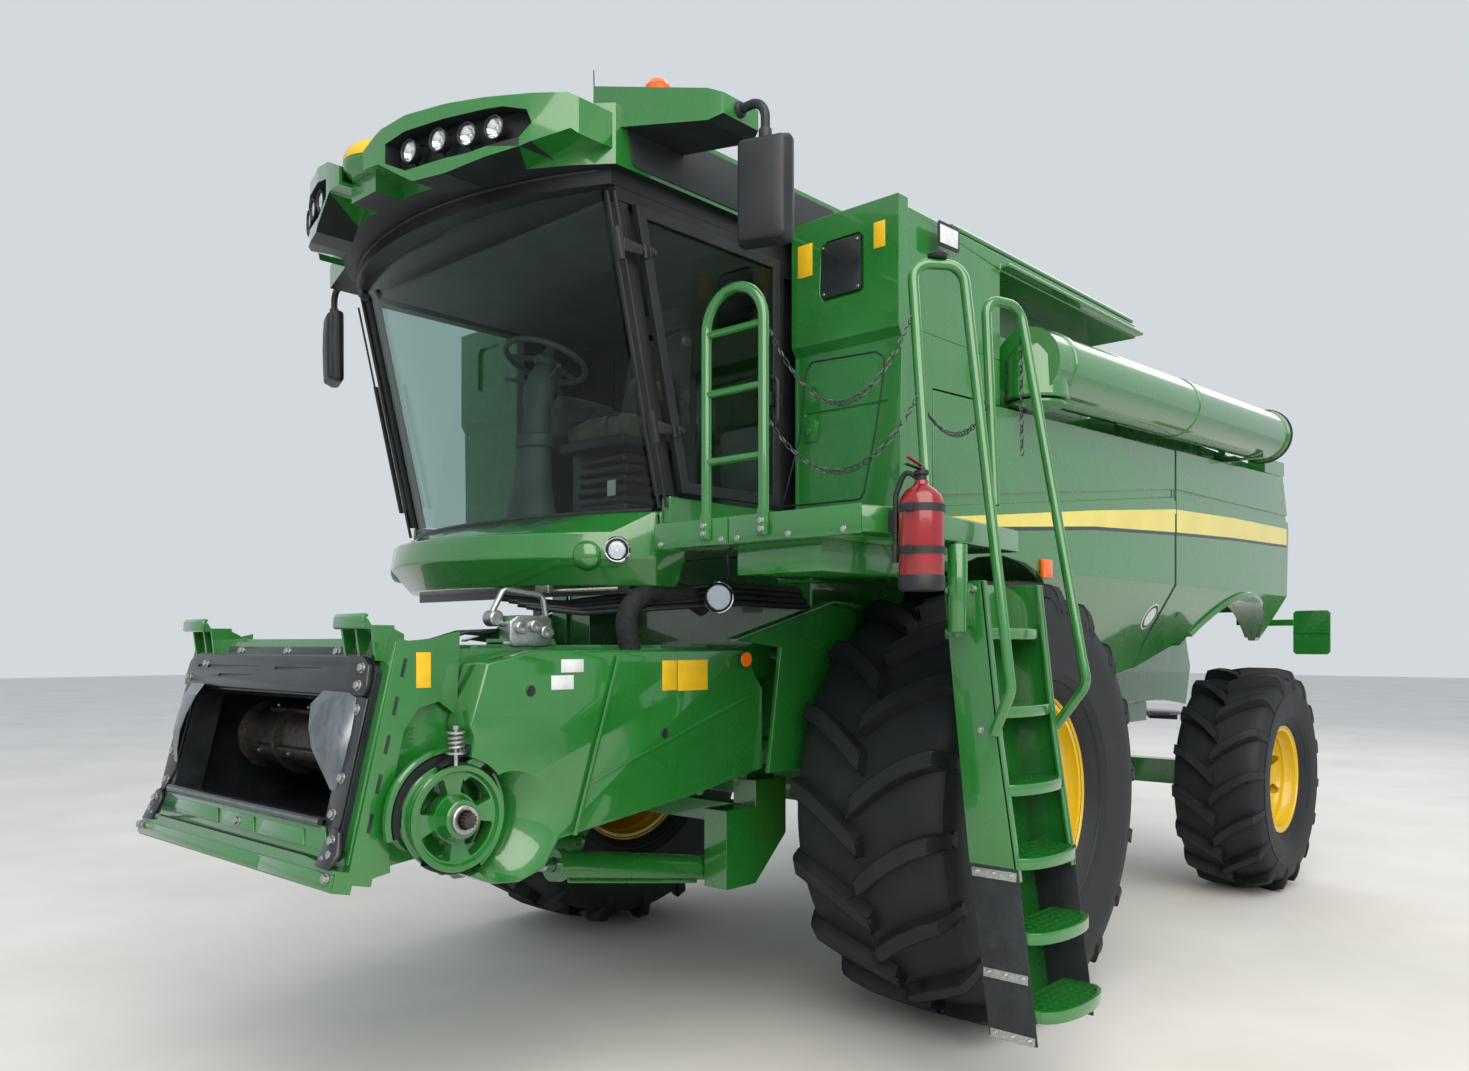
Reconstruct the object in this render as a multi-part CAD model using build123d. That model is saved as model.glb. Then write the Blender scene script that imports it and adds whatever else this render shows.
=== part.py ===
"""Combine harvester without a header: a rotary machine on four wheels, with a cab and an unloading auger.

Frame in this file: x to the machine's left, y rearward, z up, front axle above y = 0, floor at z = 0.
Everything is written with the footprint's centre moved to the origin. Sizes are in millimetres.
Outlines in (y, z) are seen from the machine's side, (x, z) from its front and (x, y) from above.
"""
from build123d import *
from math import asin, cos, pi, sin, sqrt
import os

os.makedirs("parts", exist_ok=True)

# ---- driving dimensions -------------------------------------------------------------------------
ORIGIN_X, ORIGIN_Y = 275, 975       # centre of the whole machine's footprint
WHEELBASE = 3720
FRONT_R, FRONT_W, FRONT_X, FRONT_RIM = 1025, 800, 1392, 510
REAR_R, REAR_W, REAR_X, REAR_RIM = 790, 600, 1461, 380
KINGPIN_X, STEER_ARM = 1120, 250
GAP = 6                             # between pieces that move past each other

SIDE_X = 1520                       # skin of the side panels
CREASE_Z, TUCK_X, TUCK_Z = 2120, 1300, 1730
PANEL_T = 30
SPLIT_Y = 2180                      # seam between front and rear side panels
PANEL_FRONT_Y, PANEL_REAR_Y = -600, 4400
HINGE_Z, HINGE_RISE = 2860, 0.034   # side panels' hinge line at its front end, and its rise

TANK_TOP, TANK_FRONT_Y, TANK_REAR_Y = 3600, -900, 1550
BODY_X = 1440                       # fixed side walls behind the panels
BODY_FRONT_Y = -720                 # front wall of the separator body
BODY_TOP = 2180                     # top of the separator body, where tank and engine deck stand
DECK_Z = 2216
CAB_X, CAB_REAR_Y = 950, -480
CAB_FLOOR_Z, CAB_TOP_Z = 2290, 3500
CAB_BAY_X = 1000                    # half width of the bay in front of the tank that the cab stands in
LEAN = 0.233                        # forward lean of the cab's front per unit of height
POST_Y = -1640                      # front post at floor height

FEEDER_PIVOT = (-800, 1700)         # y, z
BARREL_PIVOT = (-950, 700)
ROD_EYE = (-2350, 927)
LIFT_X = 515
FEEDER_X = 790                      # half width of the feeder house
FRAME_X = 820                       # half width of its front frame
FRAME_FOOT, FRAME_HEAD = (-2950, 985), (-2760, 1775)
DRUM_Y, DRUM_Z = -2560, 1370
DRIVE_Y, DRIVE_Z = -2660, 1170      # header drive shaft

AUGER_X, AUGER_Y, AUGER_Z, AUGER_R = 1600, 190, 3094, 170
AUGER_END_Y, AUGER_END_Z = 3571, 3226

nodes = {}


# ---- shape helpers ------------------------------------------------------------------------------
def block(x, y, z):
    """Box between three pairs of limits."""
    spans = (x, y, z)
    centre = [(low + high) / 2 for low, high in spans]
    return Pos(*centre) * Box(*[abs(high - low) for low, high in spans])


def drawn(start, end, profile):
    """Profile extruded from one point to another."""
    start, end = Vector(*start), Vector(*end)
    return extrude(Plane(origin=start, z_dir=end - start) * profile, (end - start).length)


def rod(start, end, radius):
    """Round bar between two points, for a shaft that another machine's coupler runs on."""
    return drawn(start, end, Circle(radius))


def bar(start, end, radius, sides=8):
    """Bar of regular section between two points."""
    return drawn(start, end, RegularPolygon(radius, sides))


PIN_SIDES = 12                      # flats round pivot pins and their bores


def bore(start, end, radius):
    """Cutter for a hole that a pin of up to this radius turns in."""
    return bar(start, end, radius / cos(pi / PIN_SIDES), PIN_SIDES)


def side_slab(outline, x):
    """Outline in (y, z) extruded between two x limits."""
    return extrude(Plane.YZ.offset(x[0]) * Polygon(*outline, align=None), x[1] - x[0], dir=(1, 0, 0))


def plan_slab(outline, z):
    """Outline in (x, y) extruded between two heights."""
    return extrude(Plane.XY.offset(z[0]) * Polygon(*outline, align=None), z[1] - z[0], dir=(0, 0, 1))


def section_slab(outline, y):
    """Outline in (x, z) extruded between two y limits."""
    return extrude(Plane.XZ.offset(-y[0]) * Polygon(*outline, align=None), y[1] - y[0], dir=(0, 1, 0))


def other_side(shape):
    """The same piece on the machine's right."""
    return mirror(shape, about=Plane.YZ)


def facets(near, far):
    """Flat faces between two rings with the same number of corners."""
    return [Face(Wire.make_polygon([near[k - 1], near[k], far[k], far[k - 1]])) for k in range(len(near))]


def flat_turn(outline, sides):
    """Solid turned about the x axis in flat facets, from a closed outline in (x, distance to the facet)."""
    step = 2 * pi / sides
    turns = [(sin(step * (k + 0.5)), -cos(step * (k + 0.5))) for k in range(sides)]
    rings = [[Vector(x, r * s / cos(step / 2), r * c / cos(step / 2)) for s, c in turns] for x, r in outline]
    return Solid(Shell([face for near, far in zip(rings, rings[1:] + rings[:1]) for face in facets(near,
                                                                                                   far)]))


def skinned(rings):
    """Solid through parallel rings of corners, with flat faces between them and over both ends."""
    skin = [Face(Wire.make_polygon(ring)) for ring in (rings[0], rings[-1])]
    for near, far in zip(rings, rings[1:]):
        for k in range(len(near)):
            skin.append(Face(Wire.make_polygon([near[k - 1], near[k], far[k]])))
            skin.append(Face(Wire.make_polygon([near[k - 1], far[k], far[k - 1]])))
    return Solid(Shell(skin))


def bent_bar(points, radius, bend, sides=6, chords=2):
    """Bar of regular section along straight runs, with each bend cut into mitred chords."""
    corners = []
    for edge in FilletPolyline(*points, radius=bend).edges():
        steps = chords if edge.geom_type == GeomType.CIRCLE else 1
        corners += [edge @ (step / steps) for step in range(steps)]
    corners.append(Vector(*points[-1]))
    runs = [(end - start).normalized() for start, end in zip(corners, corners[1:])]
    foot = Plane(origin=corners[0], z_dir=runs[0])
    rings = [[foot.from_local_coords(Vector(radius * cos(2 * pi * k / sides),
                                            radius * sin(2 * pi * k / sides), 0))
              for k in range(sides)]]
    for corner, run, after in zip(corners[1:], runs, runs[1:] + runs[-1:]):
        mitre = run + after
        rings.append([point + run * ((corner - point).dot(mitre) / run.dot(mitre)) for point in rings[-1]])
    return skinned(rings)


def oblong(centre, size, z):
    """Corners of a rectangle at height z."""
    corners = ((-0.5, -0.5), (0.5, -0.5), (0.5, 0.5), (-0.5, 0.5))
    return [Vector(centre[0] + sx * size[0], centre[1] + sy * size[1], z) for sx, sy in corners]


CHORDS = 12                         # flats across a bowed front


def bow(half, side_y, nose_y, back_y, z):
    """Corners of a plan outline at height z, with a front bowed in chords and a straight back."""
    rise = side_y - nose_y
    radius = (half ** 2 + rise ** 2) / (2 * rise)
    end = asin(half / radius)
    turns = [end * (2 * k / CHORDS - 1) for k in range(CHORDS + 1)]
    front = [Vector(radius * sin(t), nose_y + radius * (1 - cos(t)), z) for t in turns]
    return front + [Vector(half, back_y, z), Vector(-half, back_y, z)]


def bowed_slab(half, side_y, nose_y, back_y, z):
    """Slab between two heights whose front is bowed in plan."""
    low, high = (bow(half, side_y, nose_y, back_y, height) for height in z)
    return extrude(Face(Wire.make_polygon(low)), high[0].Z - low[0].Z, dir=(0, 0, 1))


# ---- wheels -------------------------------------------------------------------------------------
LUG_DEPTH = 58                      # tread above the carcass
SEAT_DROP = 27                      # bead seat below the rim flange
LIP = 22                            # thickness of a rim flange


def tyre(radius, width, flange, lugs):
    """Tractor tyre: a carcass with a flat to each lug of a side, and chevron lugs staggered half a pitch."""
    half, bead, root = width / 2, flange - SEAT_DROP, radius - LUG_DEPTH
    wall = [(0.70 * half, bead), (0.86 * half, flange + 40), (half, (radius + flange) / 2),
            (0.96 * half, radius - 130), (0.84 * half, root)]
    carcass = flat_turn(wall + [(-x, r) for x, r in reversed(wall)], lugs)
    crown = [(0.92 * half, root - 60), (0.99 * half, radius - 75), (0.82 * half, radius)]
    tread = flat_turn(crown + [(-x, r) for x, r in reversed(crown)], lugs)
    pitch = 2 * pi * radius / lugs
    chevron = [(0.03 * half, 0.42 * pitch), (1.02 * half, -0.20 * pitch), (1.02 * half, -0.43 * pitch),
               (0.03 * half, 0.22 * pitch)]
    bar_slab = plan_slab(chevron, (-radius - 40, 60 - root))
    lug, staggered = bar_slab & tread, other_side(bar_slab).rotate(Axis.X, 180 / lugs) & tread
    pieces = []
    for k in range(lugs):
        pieces.append(lug.rotate(Axis.X, 360 * k / lugs))
        pieces.append(staggered.rotate(Axis.X, 360 * k / lugs))
    return carcass.fuse(*pieces)


def rim(width, flange, sides, dish_x, hub_r, hub_inner_x):
    """Rim and its dished disc in flats that match the tyre's, on the hub drum that carries it."""
    lip, bead, well = 0.35 * width, flange - SEAT_DROP - 1, flange - SEAT_DROP - 24
    steel = flat_turn([
        (-lip - LIP, flange), (-lip - 2, flange), (-lip - 2, bead), (lip + 2, bead), (lip + 2, flange),
        (lip + LIP, flange), (lip - 60, well), (dish_x + 75, well), (dish_x + 16, hub_r - 20), (dish_x, hub_r - 20),
        (dish_x + 55, well), (-lip + 60, well)], sides)
    hub = bar((hub_inner_x, 0, 0), (dish_x + 10, 0, 0), hub_r, 12)
    return steel + hub + bar((dish_x + 10, 0, 0), (dish_x + 80, 0, 0), 0.72 * hub_r, 12)


wheel_table = (
    # name, x, y, radius, width, flange, lugs to a side, dish_x, hub radius, inner end of the hub
    ("front", FRONT_X, 0, FRONT_R, FRONT_W, FRONT_RIM, 18, 40, 190, 906 - FRONT_X),
    ("rear", REAR_X, WHEELBASE, REAR_R, REAR_W, REAR_RIM, 16, 70, 100, 1236 - REAR_X),
)
for name, x, y, radius, width, flange, lugs, dish_x, hub_r, hub_inner_x in wheel_table:
    rubber = Pos(x, y, radius) * tyre(radius, width, flange, lugs)
    steel = Pos(x, y, radius) * rim(width, flange, lugs, dish_x, hub_r, hub_inner_x)
    nodes[f"tyre_{name}_left"] = rubber
    nodes[f"rim_{name}_left"] = steel
    nodes[f"tyre_{name}_right"] = other_side(rubber)
    nodes[f"rim_{name}_right"] = other_side(steel)

# ---- chassis, axles, steering -------------------------------------------------------------------
rail = block((560, 640), (-835, 3900), (1150, 1300))
post = side_slab([(-1060, 640), (-1060, 1000), (-860, 1000), (-860, 1120), (-640, 1120), (-640, 850),
                  (-860, 640)], (580, 720))
post += block((580, 640), (-835, -640), (1120, 1150))
gusset = side_slab([(-1060, 1190), (-975, 1740), (-1310, 1778), (-640, 1953), (-420, 1940), (-420, 1500),
                    (BODY_FRONT_Y, 1190)],
                   (950, 972))
gusset += side_slab([(-1310, 1766), (-640, 1941), (-420, 1928), (-420, 1940), (-640, 1953), (-1310, 1778)],
                    (972, 1012))
gusset += block((820.5, 950), (BODY_FRONT_Y - 20, BODY_FRONT_Y), (1250, BODY_TOP))
gusset += block((640, 950), (BODY_FRONT_Y - 20, BODY_FRONT_Y), (1180, 1300))
gusset += bar((745, *FEEDER_PIVOT), (950, *FEEDER_PIVOT), 35, PIN_SIDES)
barrel_pin = bar((455, *BARREL_PIVOT), (600, *BARREL_PIVOT), 28, PIN_SIDES)
final_drive = side_slab([(-230, 870), (-160, 800), (160, 800), (230, 870), (230, 1150), (150, 1280),
                         (-150, 1280), (-230, 1150)],
                        (640, 900))
frame_side = rail + post + gusset + barrel_pin + final_drive
cross = block((-640, 640), (-860, -760), (900, 1000)) + block((-600, 600), (3640, 3800), (1150, 1300))
axle_beam = block((-660, 660), (-150, 150), (920, 1150))
nodes["chassis_frame"] = frame_side + other_side(frame_side) + cross + axle_beam

YOKE_END, YOKE_SPAN = 1175, (WHEELBASE - 70, WHEELBASE + 70)
yoke = section_slab([(1000, 665), (YOKE_END, 665), (YOKE_END, 700), (1040, 700), (1040, 880),
                     (YOKE_END, 880), (YOKE_END, 915), (1000, 915)], YOKE_SPAN)
rear_axle = block((-1000, 1000), (WHEELBASE - 80, WHEELBASE + 80), (700, 880)) + yoke + other_side(yoke)
rear_axle += section_slab([(-220, 1149.5), (-320, 880), (320, 880), (220, 1149.5)],
                          (WHEELBASE - 80, WHEELBASE + 80))
nodes["rear_axle"] = rear_axle

ARM_Y, TIE_Z = WHEELBASE + STEER_ARM, REAR_R - 65
knuckle = bar((KINGPIN_X, WHEELBASE, 705), (KINGPIN_X, WHEELBASE, 875), 60, 12)
knuckle += bar((KINGPIN_X, WHEELBASE, REAR_R), (1230, WHEELBASE, REAR_R), 60, 12)
knuckle += plan_slab([(KINGPIN_X - 32, WHEELBASE), (KINGPIN_X - 25, ARM_Y), (KINGPIN_X + 25, ARM_Y),
                      (KINGPIN_X + 40, WHEELBASE)],
                     (REAR_R - 15, REAR_R + 15))
knuckle += bar((KINGPIN_X, ARM_Y, REAR_R - 40), (KINGPIN_X, ARM_Y, REAR_R + 15), 25, 12)
nodes["knuckle_left"] = knuckle
nodes["knuckle_right"] = other_side(knuckle)
tie = bar((-KINGPIN_X, ARM_Y, TIE_Z), (KINGPIN_X, ARM_Y, TIE_Z), 20)
for x in (-KINGPIN_X, KINGPIN_X):
    tie += bar((x, ARM_Y, TIE_Z - 24), (x, ARM_Y, TIE_Z + 24), 34, 12)
nodes["tie_rod"] = tie

# ---- body core ----------------------------------------------------------------------------------
core = side_slab([(BODY_FRONT_Y, 1310), (BODY_FRONT_Y, BODY_TOP), (2600, BODY_TOP), (2600, 1310)],
                 (-820, 820))
core += side_slab([(2600, 1310), (2600, BODY_TOP), (4150, BODY_TOP), (4250, 1700), (4100, 1310)], (-700, 700))
core += side_slab([(260, 1000), (400, 860), (2600, 860), (2900, 1000), (2900, 1310), (260, 1310)],
                  (-550, 550))
throat = block((-640, 640), (-900, -500), (1400, 2000))
nodes["separator_body"] = core - throat


def hinge_z(y):
    """Height of the side panels' hinge line."""
    return HINGE_Z + HINGE_RISE * (y - PANEL_FRONT_Y)


# grain tank: a hopper with its mouth on top, and its left wall set in behind the unloading auger
WALL = 30
TANK_SHOULDER = 3095
RECESS_X, RECESS_Y, RECESS_Z = 1235, -20, (2860, 3520)
tank = section_slab([(-SIDE_X, TANK_SHOULDER), (-SIDE_X, TANK_TOP), (SIDE_X, TANK_TOP),
                     (SIDE_X, TANK_SHOULDER),
                     (BODY_X, TANK_SHOULDER), (BODY_X, BODY_TOP + 0.5), (-BODY_X, BODY_TOP + 0.5),
                     (-BODY_X, TANK_SHOULDER)],
                    (TANK_FRONT_Y + 30, TANK_REAR_Y))
tank -= block((RECESS_X, SIDE_X + 10), (RECESS_Y, TANK_REAR_Y + 10), RECESS_Z)
tank -= block((-CAB_BAY_X, CAB_BAY_X), (TANK_FRONT_Y, CAB_REAR_Y + 40), (BODY_TOP - 10, TANK_TOP + 10))
hollow_y = (CAB_REAR_Y + 70, TANK_REAR_Y - WALL)
hollow = section_slab([(-BODY_X + WALL, TANK_TOP + 10), (-BODY_X + WALL, 2860), (-700, 2240), (700, 2240),
                       (1180, 2860), (RECESS_X - WALL, 2860), (RECESS_X - WALL, TANK_TOP + 10)], hollow_y)
awning_y = (RECESS_Y, TANK_REAR_Y)
tank += section_slab([(RECESS_X, 3549), (RECESS_X, 3520), (1270, 3520), (1570, 3530), (1570, 3549)], awning_y)
nodes["grain_tank"] = tank - hollow

lid = section_slab([(4, TANK_TOP + 22), (4, TANK_TOP + 48), (700, TANK_TOP + 60),
                    (SIDE_X - 10, TANK_TOP + 34), (SIDE_X - 2, TANK_TOP + 20),
                    (SIDE_X - 10, TANK_TOP + 8)], (CAB_REAR_Y + 50, TANK_REAR_Y - 10))
nodes["tank_lid_left"] = lid
nodes["tank_lid_right"] = other_side(lid)

# front bulkhead: the green faces on both sides of the cab, stepped above and below a fold
FOLD_Z, FOLD_X = 3060, 1570
BULK_Y = TANK_FRONT_Y - 40
head = side_slab([(BULK_Y, FOLD_Z), (BULK_Y, TANK_TOP), (TANK_FRONT_Y + 29.5, TANK_TOP),
                  (TANK_FRONT_Y + 29.5, DECK_Z + 10),
                  (BULK_Y + 25, DECK_Z + 10), (BULK_Y + 25, FOLD_Z - 40)], (CAB_BAY_X + 3, FOLD_X))
head &= section_slab([(985, DECK_Z), (FOLD_X - 15, DECK_Z), (FOLD_X, FOLD_Z), (FOLD_X, TANK_TOP + 10),
                      (985, TANK_TOP + 10)],
                     (BULK_Y - 10, 0))
head += block((SIDE_X - 60, SIDE_X), (TANK_FRONT_Y + 20, PANEL_FRONT_Y - GAP),
              (DECK_Z + 10, TANK_SHOULDER - 1))
head += side_slab([(PANEL_FRONT_Y - GAP, hinge_z(PANEL_FRONT_Y) + GAP),
                   (PANEL_FRONT_Y - GAP, TANK_SHOULDER - 1),
                   (RECESS_Y, TANK_SHOULDER - 1), (RECESS_Y, hinge_z(RECESS_Y) + GAP)],
                   (BODY_X + 0.5, SIDE_X))
vent = section_slab([(1180, 3235), (1160, 3270), (1170, 3470), (1200, 3490), (1370, 3490), (1392, 3465),
                     (1392, 3250), (1370, 3235)],
                    (BULK_Y - 20, BULK_Y + 18))
door_seam = block((1060, 1500), (BULK_Y - 10, BULK_Y + 30), (2760, 2768))
nodes["front_bulkhead"] = (head - vent - door_seam) + other_side(head - vent)

# engine deck behind the tank: a bay with an open top, the engine block in it
BAY_TOP = 3100
deck_box = block((-BODY_X, BODY_X), (TANK_REAR_Y + 0.5, 4340), (BODY_TOP + 0.5, BAY_TOP - 150))
deck_box += side_slab([(TANK_REAR_Y + 0.5, BAY_TOP - 150), (TANK_REAR_Y + 0.5, BAY_TOP), (3900, BAY_TOP),
                       (4340, BAY_TOP - 40), (4340, BAY_TOP - 150)], (-1400, 1400))
deck_box -= block((-1000, 1000), (TANK_REAR_Y + 60, 3300), (2300, BAY_TOP + 10))
nodes["engine_deck"] = deck_box
nodes["engine_block"] = block((-450, 650), (TANK_REAR_Y + 260, 2900), (2300.5, 3040))
SCREEN_Y, SCREEN_Z = (TANK_REAR_Y + 60, 2950), (BAY_TOP + 0.5, 3580)
screen = block((-1400, -1010), SCREEN_Y, SCREEN_Z)
screen -= block((-1410, -1350), (SCREEN_Y[0] + 50, SCREEN_Y[1] - 50), (SCREEN_Z[0] + 30, SCREEN_Z[1] - 30))
for step in range(1, 8):
    slat_z = SCREEN_Z[0] + 30 + step * 52
    screen += side_slab([(SCREEN_Y[0] + 50, slat_z), (SCREEN_Y[0] + 50, slat_z + 8),
                         (SCREEN_Y[1] - 50, slat_z + 8), (SCREEN_Y[1] - 50, slat_z)], (-1385, -1350))
nodes["cooling_screen"] = screen

# rear hood: the wide tail that closes the body between the rear side panels, and its marker plates
TAIL_X = 1400
tail = side_slab([(4340.5, BODY_TOP), (4340.5, 3060), (4370, 3150), (4440, 3150), (4485, 2640), (4440, 2100),
                  (4300, 2000), (4260, BODY_TOP)], (-TAIL_X, TAIL_X))
strip = side_slab([(3900, hinge_z(3900) + GAP), (3900, 3120), (4360, 3140), (4360, hinge_z(4330) + GAP)],
                  (TAIL_X + 0.5, SIDE_X))
MARKER_Y = 4900
arm = side_slab([(4330, 1900), (4330, 2060), (4400, 2060), (4440, 1950), (MARKER_Y, 1950), (MARKER_Y, 1900)],
                (1180, 1240))
arm += block((1240, 1440), (MARKER_Y - 40, MARKER_Y), (1900, 1950))
plate = section_slab([(1440, 1690), (1460, 1670), (1690, 1670), (1710, 1690), (1710, 2000), (1690, 2020),
                      (1460, 2020), (1440, 2000)],
                     (MARKER_Y - 20, MARKER_Y))
plate += block((1440, 1710), (MARKER_Y - 30, MARKER_Y - 20), (1840, 1850)) + arm
tail_side = strip + plate
nodes["rear_hood"] = (tail + block((-SIDE_X, SIDE_X), (4340.5, 4360), (hinge_z(4330) + GAP, 3120))
                      + tail_side + other_side(tail_side))

# ---- side panels --------------------------------------------------------------------------------
GROOVE = 12                         # depth of the long groove that the stripe runs under


def panel_sheet(y0, y1):
    """Bent side sheet: upright above the crease, drawn in below it."""
    inner_tuck = TUCK_X - PANEL_T
    low_x, low_z = TUCK_X - 70, TUCK_Z - 175
    return section_slab([
        (SIDE_X, 3300), (SIDE_X, CREASE_Z), (TUCK_X, TUCK_Z), (low_x, low_z), (low_x - PANEL_T, low_z),
        (inner_tuck, TUCK_Z + 8), (SIDE_X - PANEL_T, CREASE_Z + 10), (SIDE_X - PANEL_T, 3300)], (y0, y1))


groove_line = ((PANEL_FRONT_Y - 20, 2352), (SPLIT_Y, 2666), (4500, 2692))
groove = side_slab([*groove_line, *[(y, z + 50) for y, z in reversed(groove_line)]],
                   (SIDE_X - GROOVE, SIDE_X + 10))
ARCH_R, REAR_ARCH_R = 1150, 1020
REAR_ARCH = (3560, 2090 - REAR_ARCH_R)
ARCH_SIDES = 32
front_outline = [(PANEL_FRONT_Y, 1560), (PANEL_FRONT_Y, hinge_z(PANEL_FRONT_Y)),
                 (SPLIT_Y - 4, hinge_z(SPLIT_Y - 4)), (SPLIT_Y - 4, 1600), (1900, 1560)]
front_panel = panel_sheet(PANEL_FRONT_Y - 10, SPLIT_Y) & side_slab(front_outline, (1000, 1600))
front_panel -= bar((1000, 0, FRONT_R), (1700, 0, FRONT_R), ARCH_R, ARCH_SIDES)
rear_outline = [(SPLIT_Y + 4, 1600), (SPLIT_Y + 4, hinge_z(SPLIT_Y + 4)), (4240, hinge_z(4240)),
                (4330, hinge_z(4330)), (4470, 2640), (4420, 2000), (4380, 1780), (2660, 1740)]
arch_lip = bar((1280, *REAR_ARCH), (1310, *REAR_ARCH), REAR_ARCH_R + 40, ARCH_SIDES)
lip_reach = side_slab([(2740, 1760), (2740, 2300), (4360, 2300), (4360, 1780)], (1200, 1400))
rear_panel = panel_sheet(SPLIT_Y - 10, 4500) & side_slab(rear_outline, (1000, 1600))
rear_panel += arch_lip & lip_reach
rear_panel -= bar((1000, *REAR_ARCH), (1700, *REAR_ARCH), REAR_ARCH_R, ARCH_SIDES)
for name, panel in (("front", front_panel - groove), ("rear", rear_panel - groove)):
    nodes[f"side_panel_{name}_left"] = panel
    nodes[f"side_panel_{name}_right"] = other_side(panel)

# ---- unloading auger ----------------------------------------------------------------------------
AUGER_SIDES = 16
tube_dir = Vector(0, AUGER_END_Y - AUGER_Y, AUGER_END_Z - AUGER_Z)
tube_foot = Vector(AUGER_X, AUGER_Y, AUGER_Z)


def auger_at(share):
    """Point on the tube's axis."""
    return tuple(tube_foot + tube_dir * share)


auger = bar(auger_at(-0.03), auger_at(1), AUGER_R, AUGER_SIDES)
auger += bar(auger_at(0.5), auger_at(0.512), AUGER_R + 8, AUGER_SIDES)
auger += bar(auger_at(0.02), auger_at(0.028), AUGER_R + 8, AUGER_SIDES)
auger += bar(auger_at(1), auger_at(1.009), AUGER_R + 14, AUGER_SIDES)
auger -= bar(auger_at(0.91), auger_at(1.02), AUGER_R - 12, AUGER_SIDES)
elbow = bar((AUGER_X, AUGER_Y, 2922), tuple(tube_foot), AUGER_R - 20, AUGER_SIDES)
nodes["auger_tube"] = auger + elbow
PIVOT_Y = (AUGER_Y - 90, AUGER_Y + 90)
turret = bar((AUGER_X, AUGER_Y, 2897), (AUGER_X, AUGER_Y, 2912), AUGER_R - 30, AUGER_SIDES)
turret += section_slab([(RECESS_X + 0.5, 2860.5), (RECESS_X + 0.5, 2912), (AUGER_X, 2912), (AUGER_X, 2897),
                        (1430, 2897), (1430, 2860.5)], PIVOT_Y)
cradle_y = (3270, 3330)
cradle = section_slab([(1401, 2950.5), (1401, 3120), (1430, 3120), (1430, 3060), (1700, 3060), (1700, 3030),
                       (1440, 3030), (1440, 2950.5)], cradle_y)
cradle -= bar((AUGER_X, 3000, 3198), (AUGER_X, 3600, 3221), AUGER_R + 6, AUGER_SIDES)
nodes["auger_supports"] = turret + cradle

# ---- cab ----------------------------------------------------------------------------------------
COWL_Z = (1990.5, 2100, 2200, CAB_FLOOR_Z)
cowl_table = (
    # height, half width, y of the corners, y of the nose
    (COWL_Z[0], 850, -1620, -2050), (COWL_Z[1], 900, -1670, -2150), (COWL_Z[2], 900, -1670, -2130),
    (COWL_Z[3], 900, -1665, -1850))
cowl = skinned([bow(half, side_y, nose_y, -1500, z) for z, half, side_y, nose_y in cowl_table])
floor_plate = block((-900, 900), (-1500, CAB_REAR_Y), (BODY_TOP + 0.5, CAB_FLOOR_Z))
sill = block((900, CAB_X), (POST_Y, CAB_REAR_Y), (DECK_Z + 20, 2350))
nodes["cab_base"] = cowl + floor_plate + sill + other_side(sill)


def leaning_post(x, y, z):
    """Post that leans forward with the windscreen, from its foot's limits and its end heights."""
    outline = [(y[0], z[0]), (y[1], z[0]), (y[1] - LEAN * (z[1] - z[0]), z[1]),
               (y[0] - LEAN * (z[1] - z[0]), z[1])]
    return side_slab(outline, x)


SILL_Z = 2350.5
front_post = leaning_post((880, CAB_X - 5), (POST_Y - 20, POST_Y + 35), (SILL_Z, CAB_TOP_Z))
rear_post = block((880, CAB_X), (-990, -930), (SILL_Z, CAB_TOP_Z))
corner = block((880, CAB_X), (-560, CAB_REAR_Y), (SILL_Z, CAB_TOP_Z))
quarter = block((905, 925), (-930, -560), (SILL_Z, CAB_TOP_Z))
door_head = side_slab([(-1925, CAB_TOP_Z), (-1925, CAB_TOP_Z - 50), (-990, CAB_TOP_Z - 50),
                       (-930, CAB_TOP_Z - 110), (-560, CAB_TOP_Z - 110), (CAB_REAR_Y, CAB_TOP_Z - 50),
                       (CAB_REAR_Y, CAB_TOP_Z)], (880, CAB_X))
rear_wall = block((-880, 880), (CAB_REAR_Y - 30, CAB_REAR_Y), (CAB_FLOOR_Z + 0.5, CAB_TOP_Z))
rear_wall -= block((-700, 700), (CAB_REAR_Y - 40, CAB_REAR_Y + 10), (2800, 3400))
cab_side = front_post + rear_post + corner + quarter + door_head
nodes["cab_frame"] = cab_side + other_side(cab_side) + rear_wall

GLASS = 8
pane = bowed_slab(878, -1660, -1835, -1500, (0, 1))
pane -= bowed_slab(879, -1660 + GLASS, -1835 + GLASS, -1400, (-1, 2))
pane_foot = pane.faces().sort_by(Axis.Z)[0]
pane_rise = CAB_TOP_Z - CAB_FLOOR_Z - 1
pane_length = pane_rise * sqrt(1 + LEAN ** 2)
nodes["windshield"] = Pos(0, 0, CAB_FLOOR_Z + 1) * extrude(pane_foot, pane_length, dir=(0, -LEAN, 1))

DOOR_Y, DOOR_Z, DOOR_FRAME = (-1600, -996), (2360, 3444), 45


def door_edge(inset):
    """Door outline in (y, z), drawn in by a border."""
    low, high = DOOR_Z[0] + inset, DOOR_Z[1] - inset
    front = DOOR_Y[0] + inset
    return [(front - LEAN * inset, low), (front - LEAN * (high - DOOR_Z[0]), high), (DOOR_Y[1] - inset, high),
            (DOOR_Y[1] - inset, low)]


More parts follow.
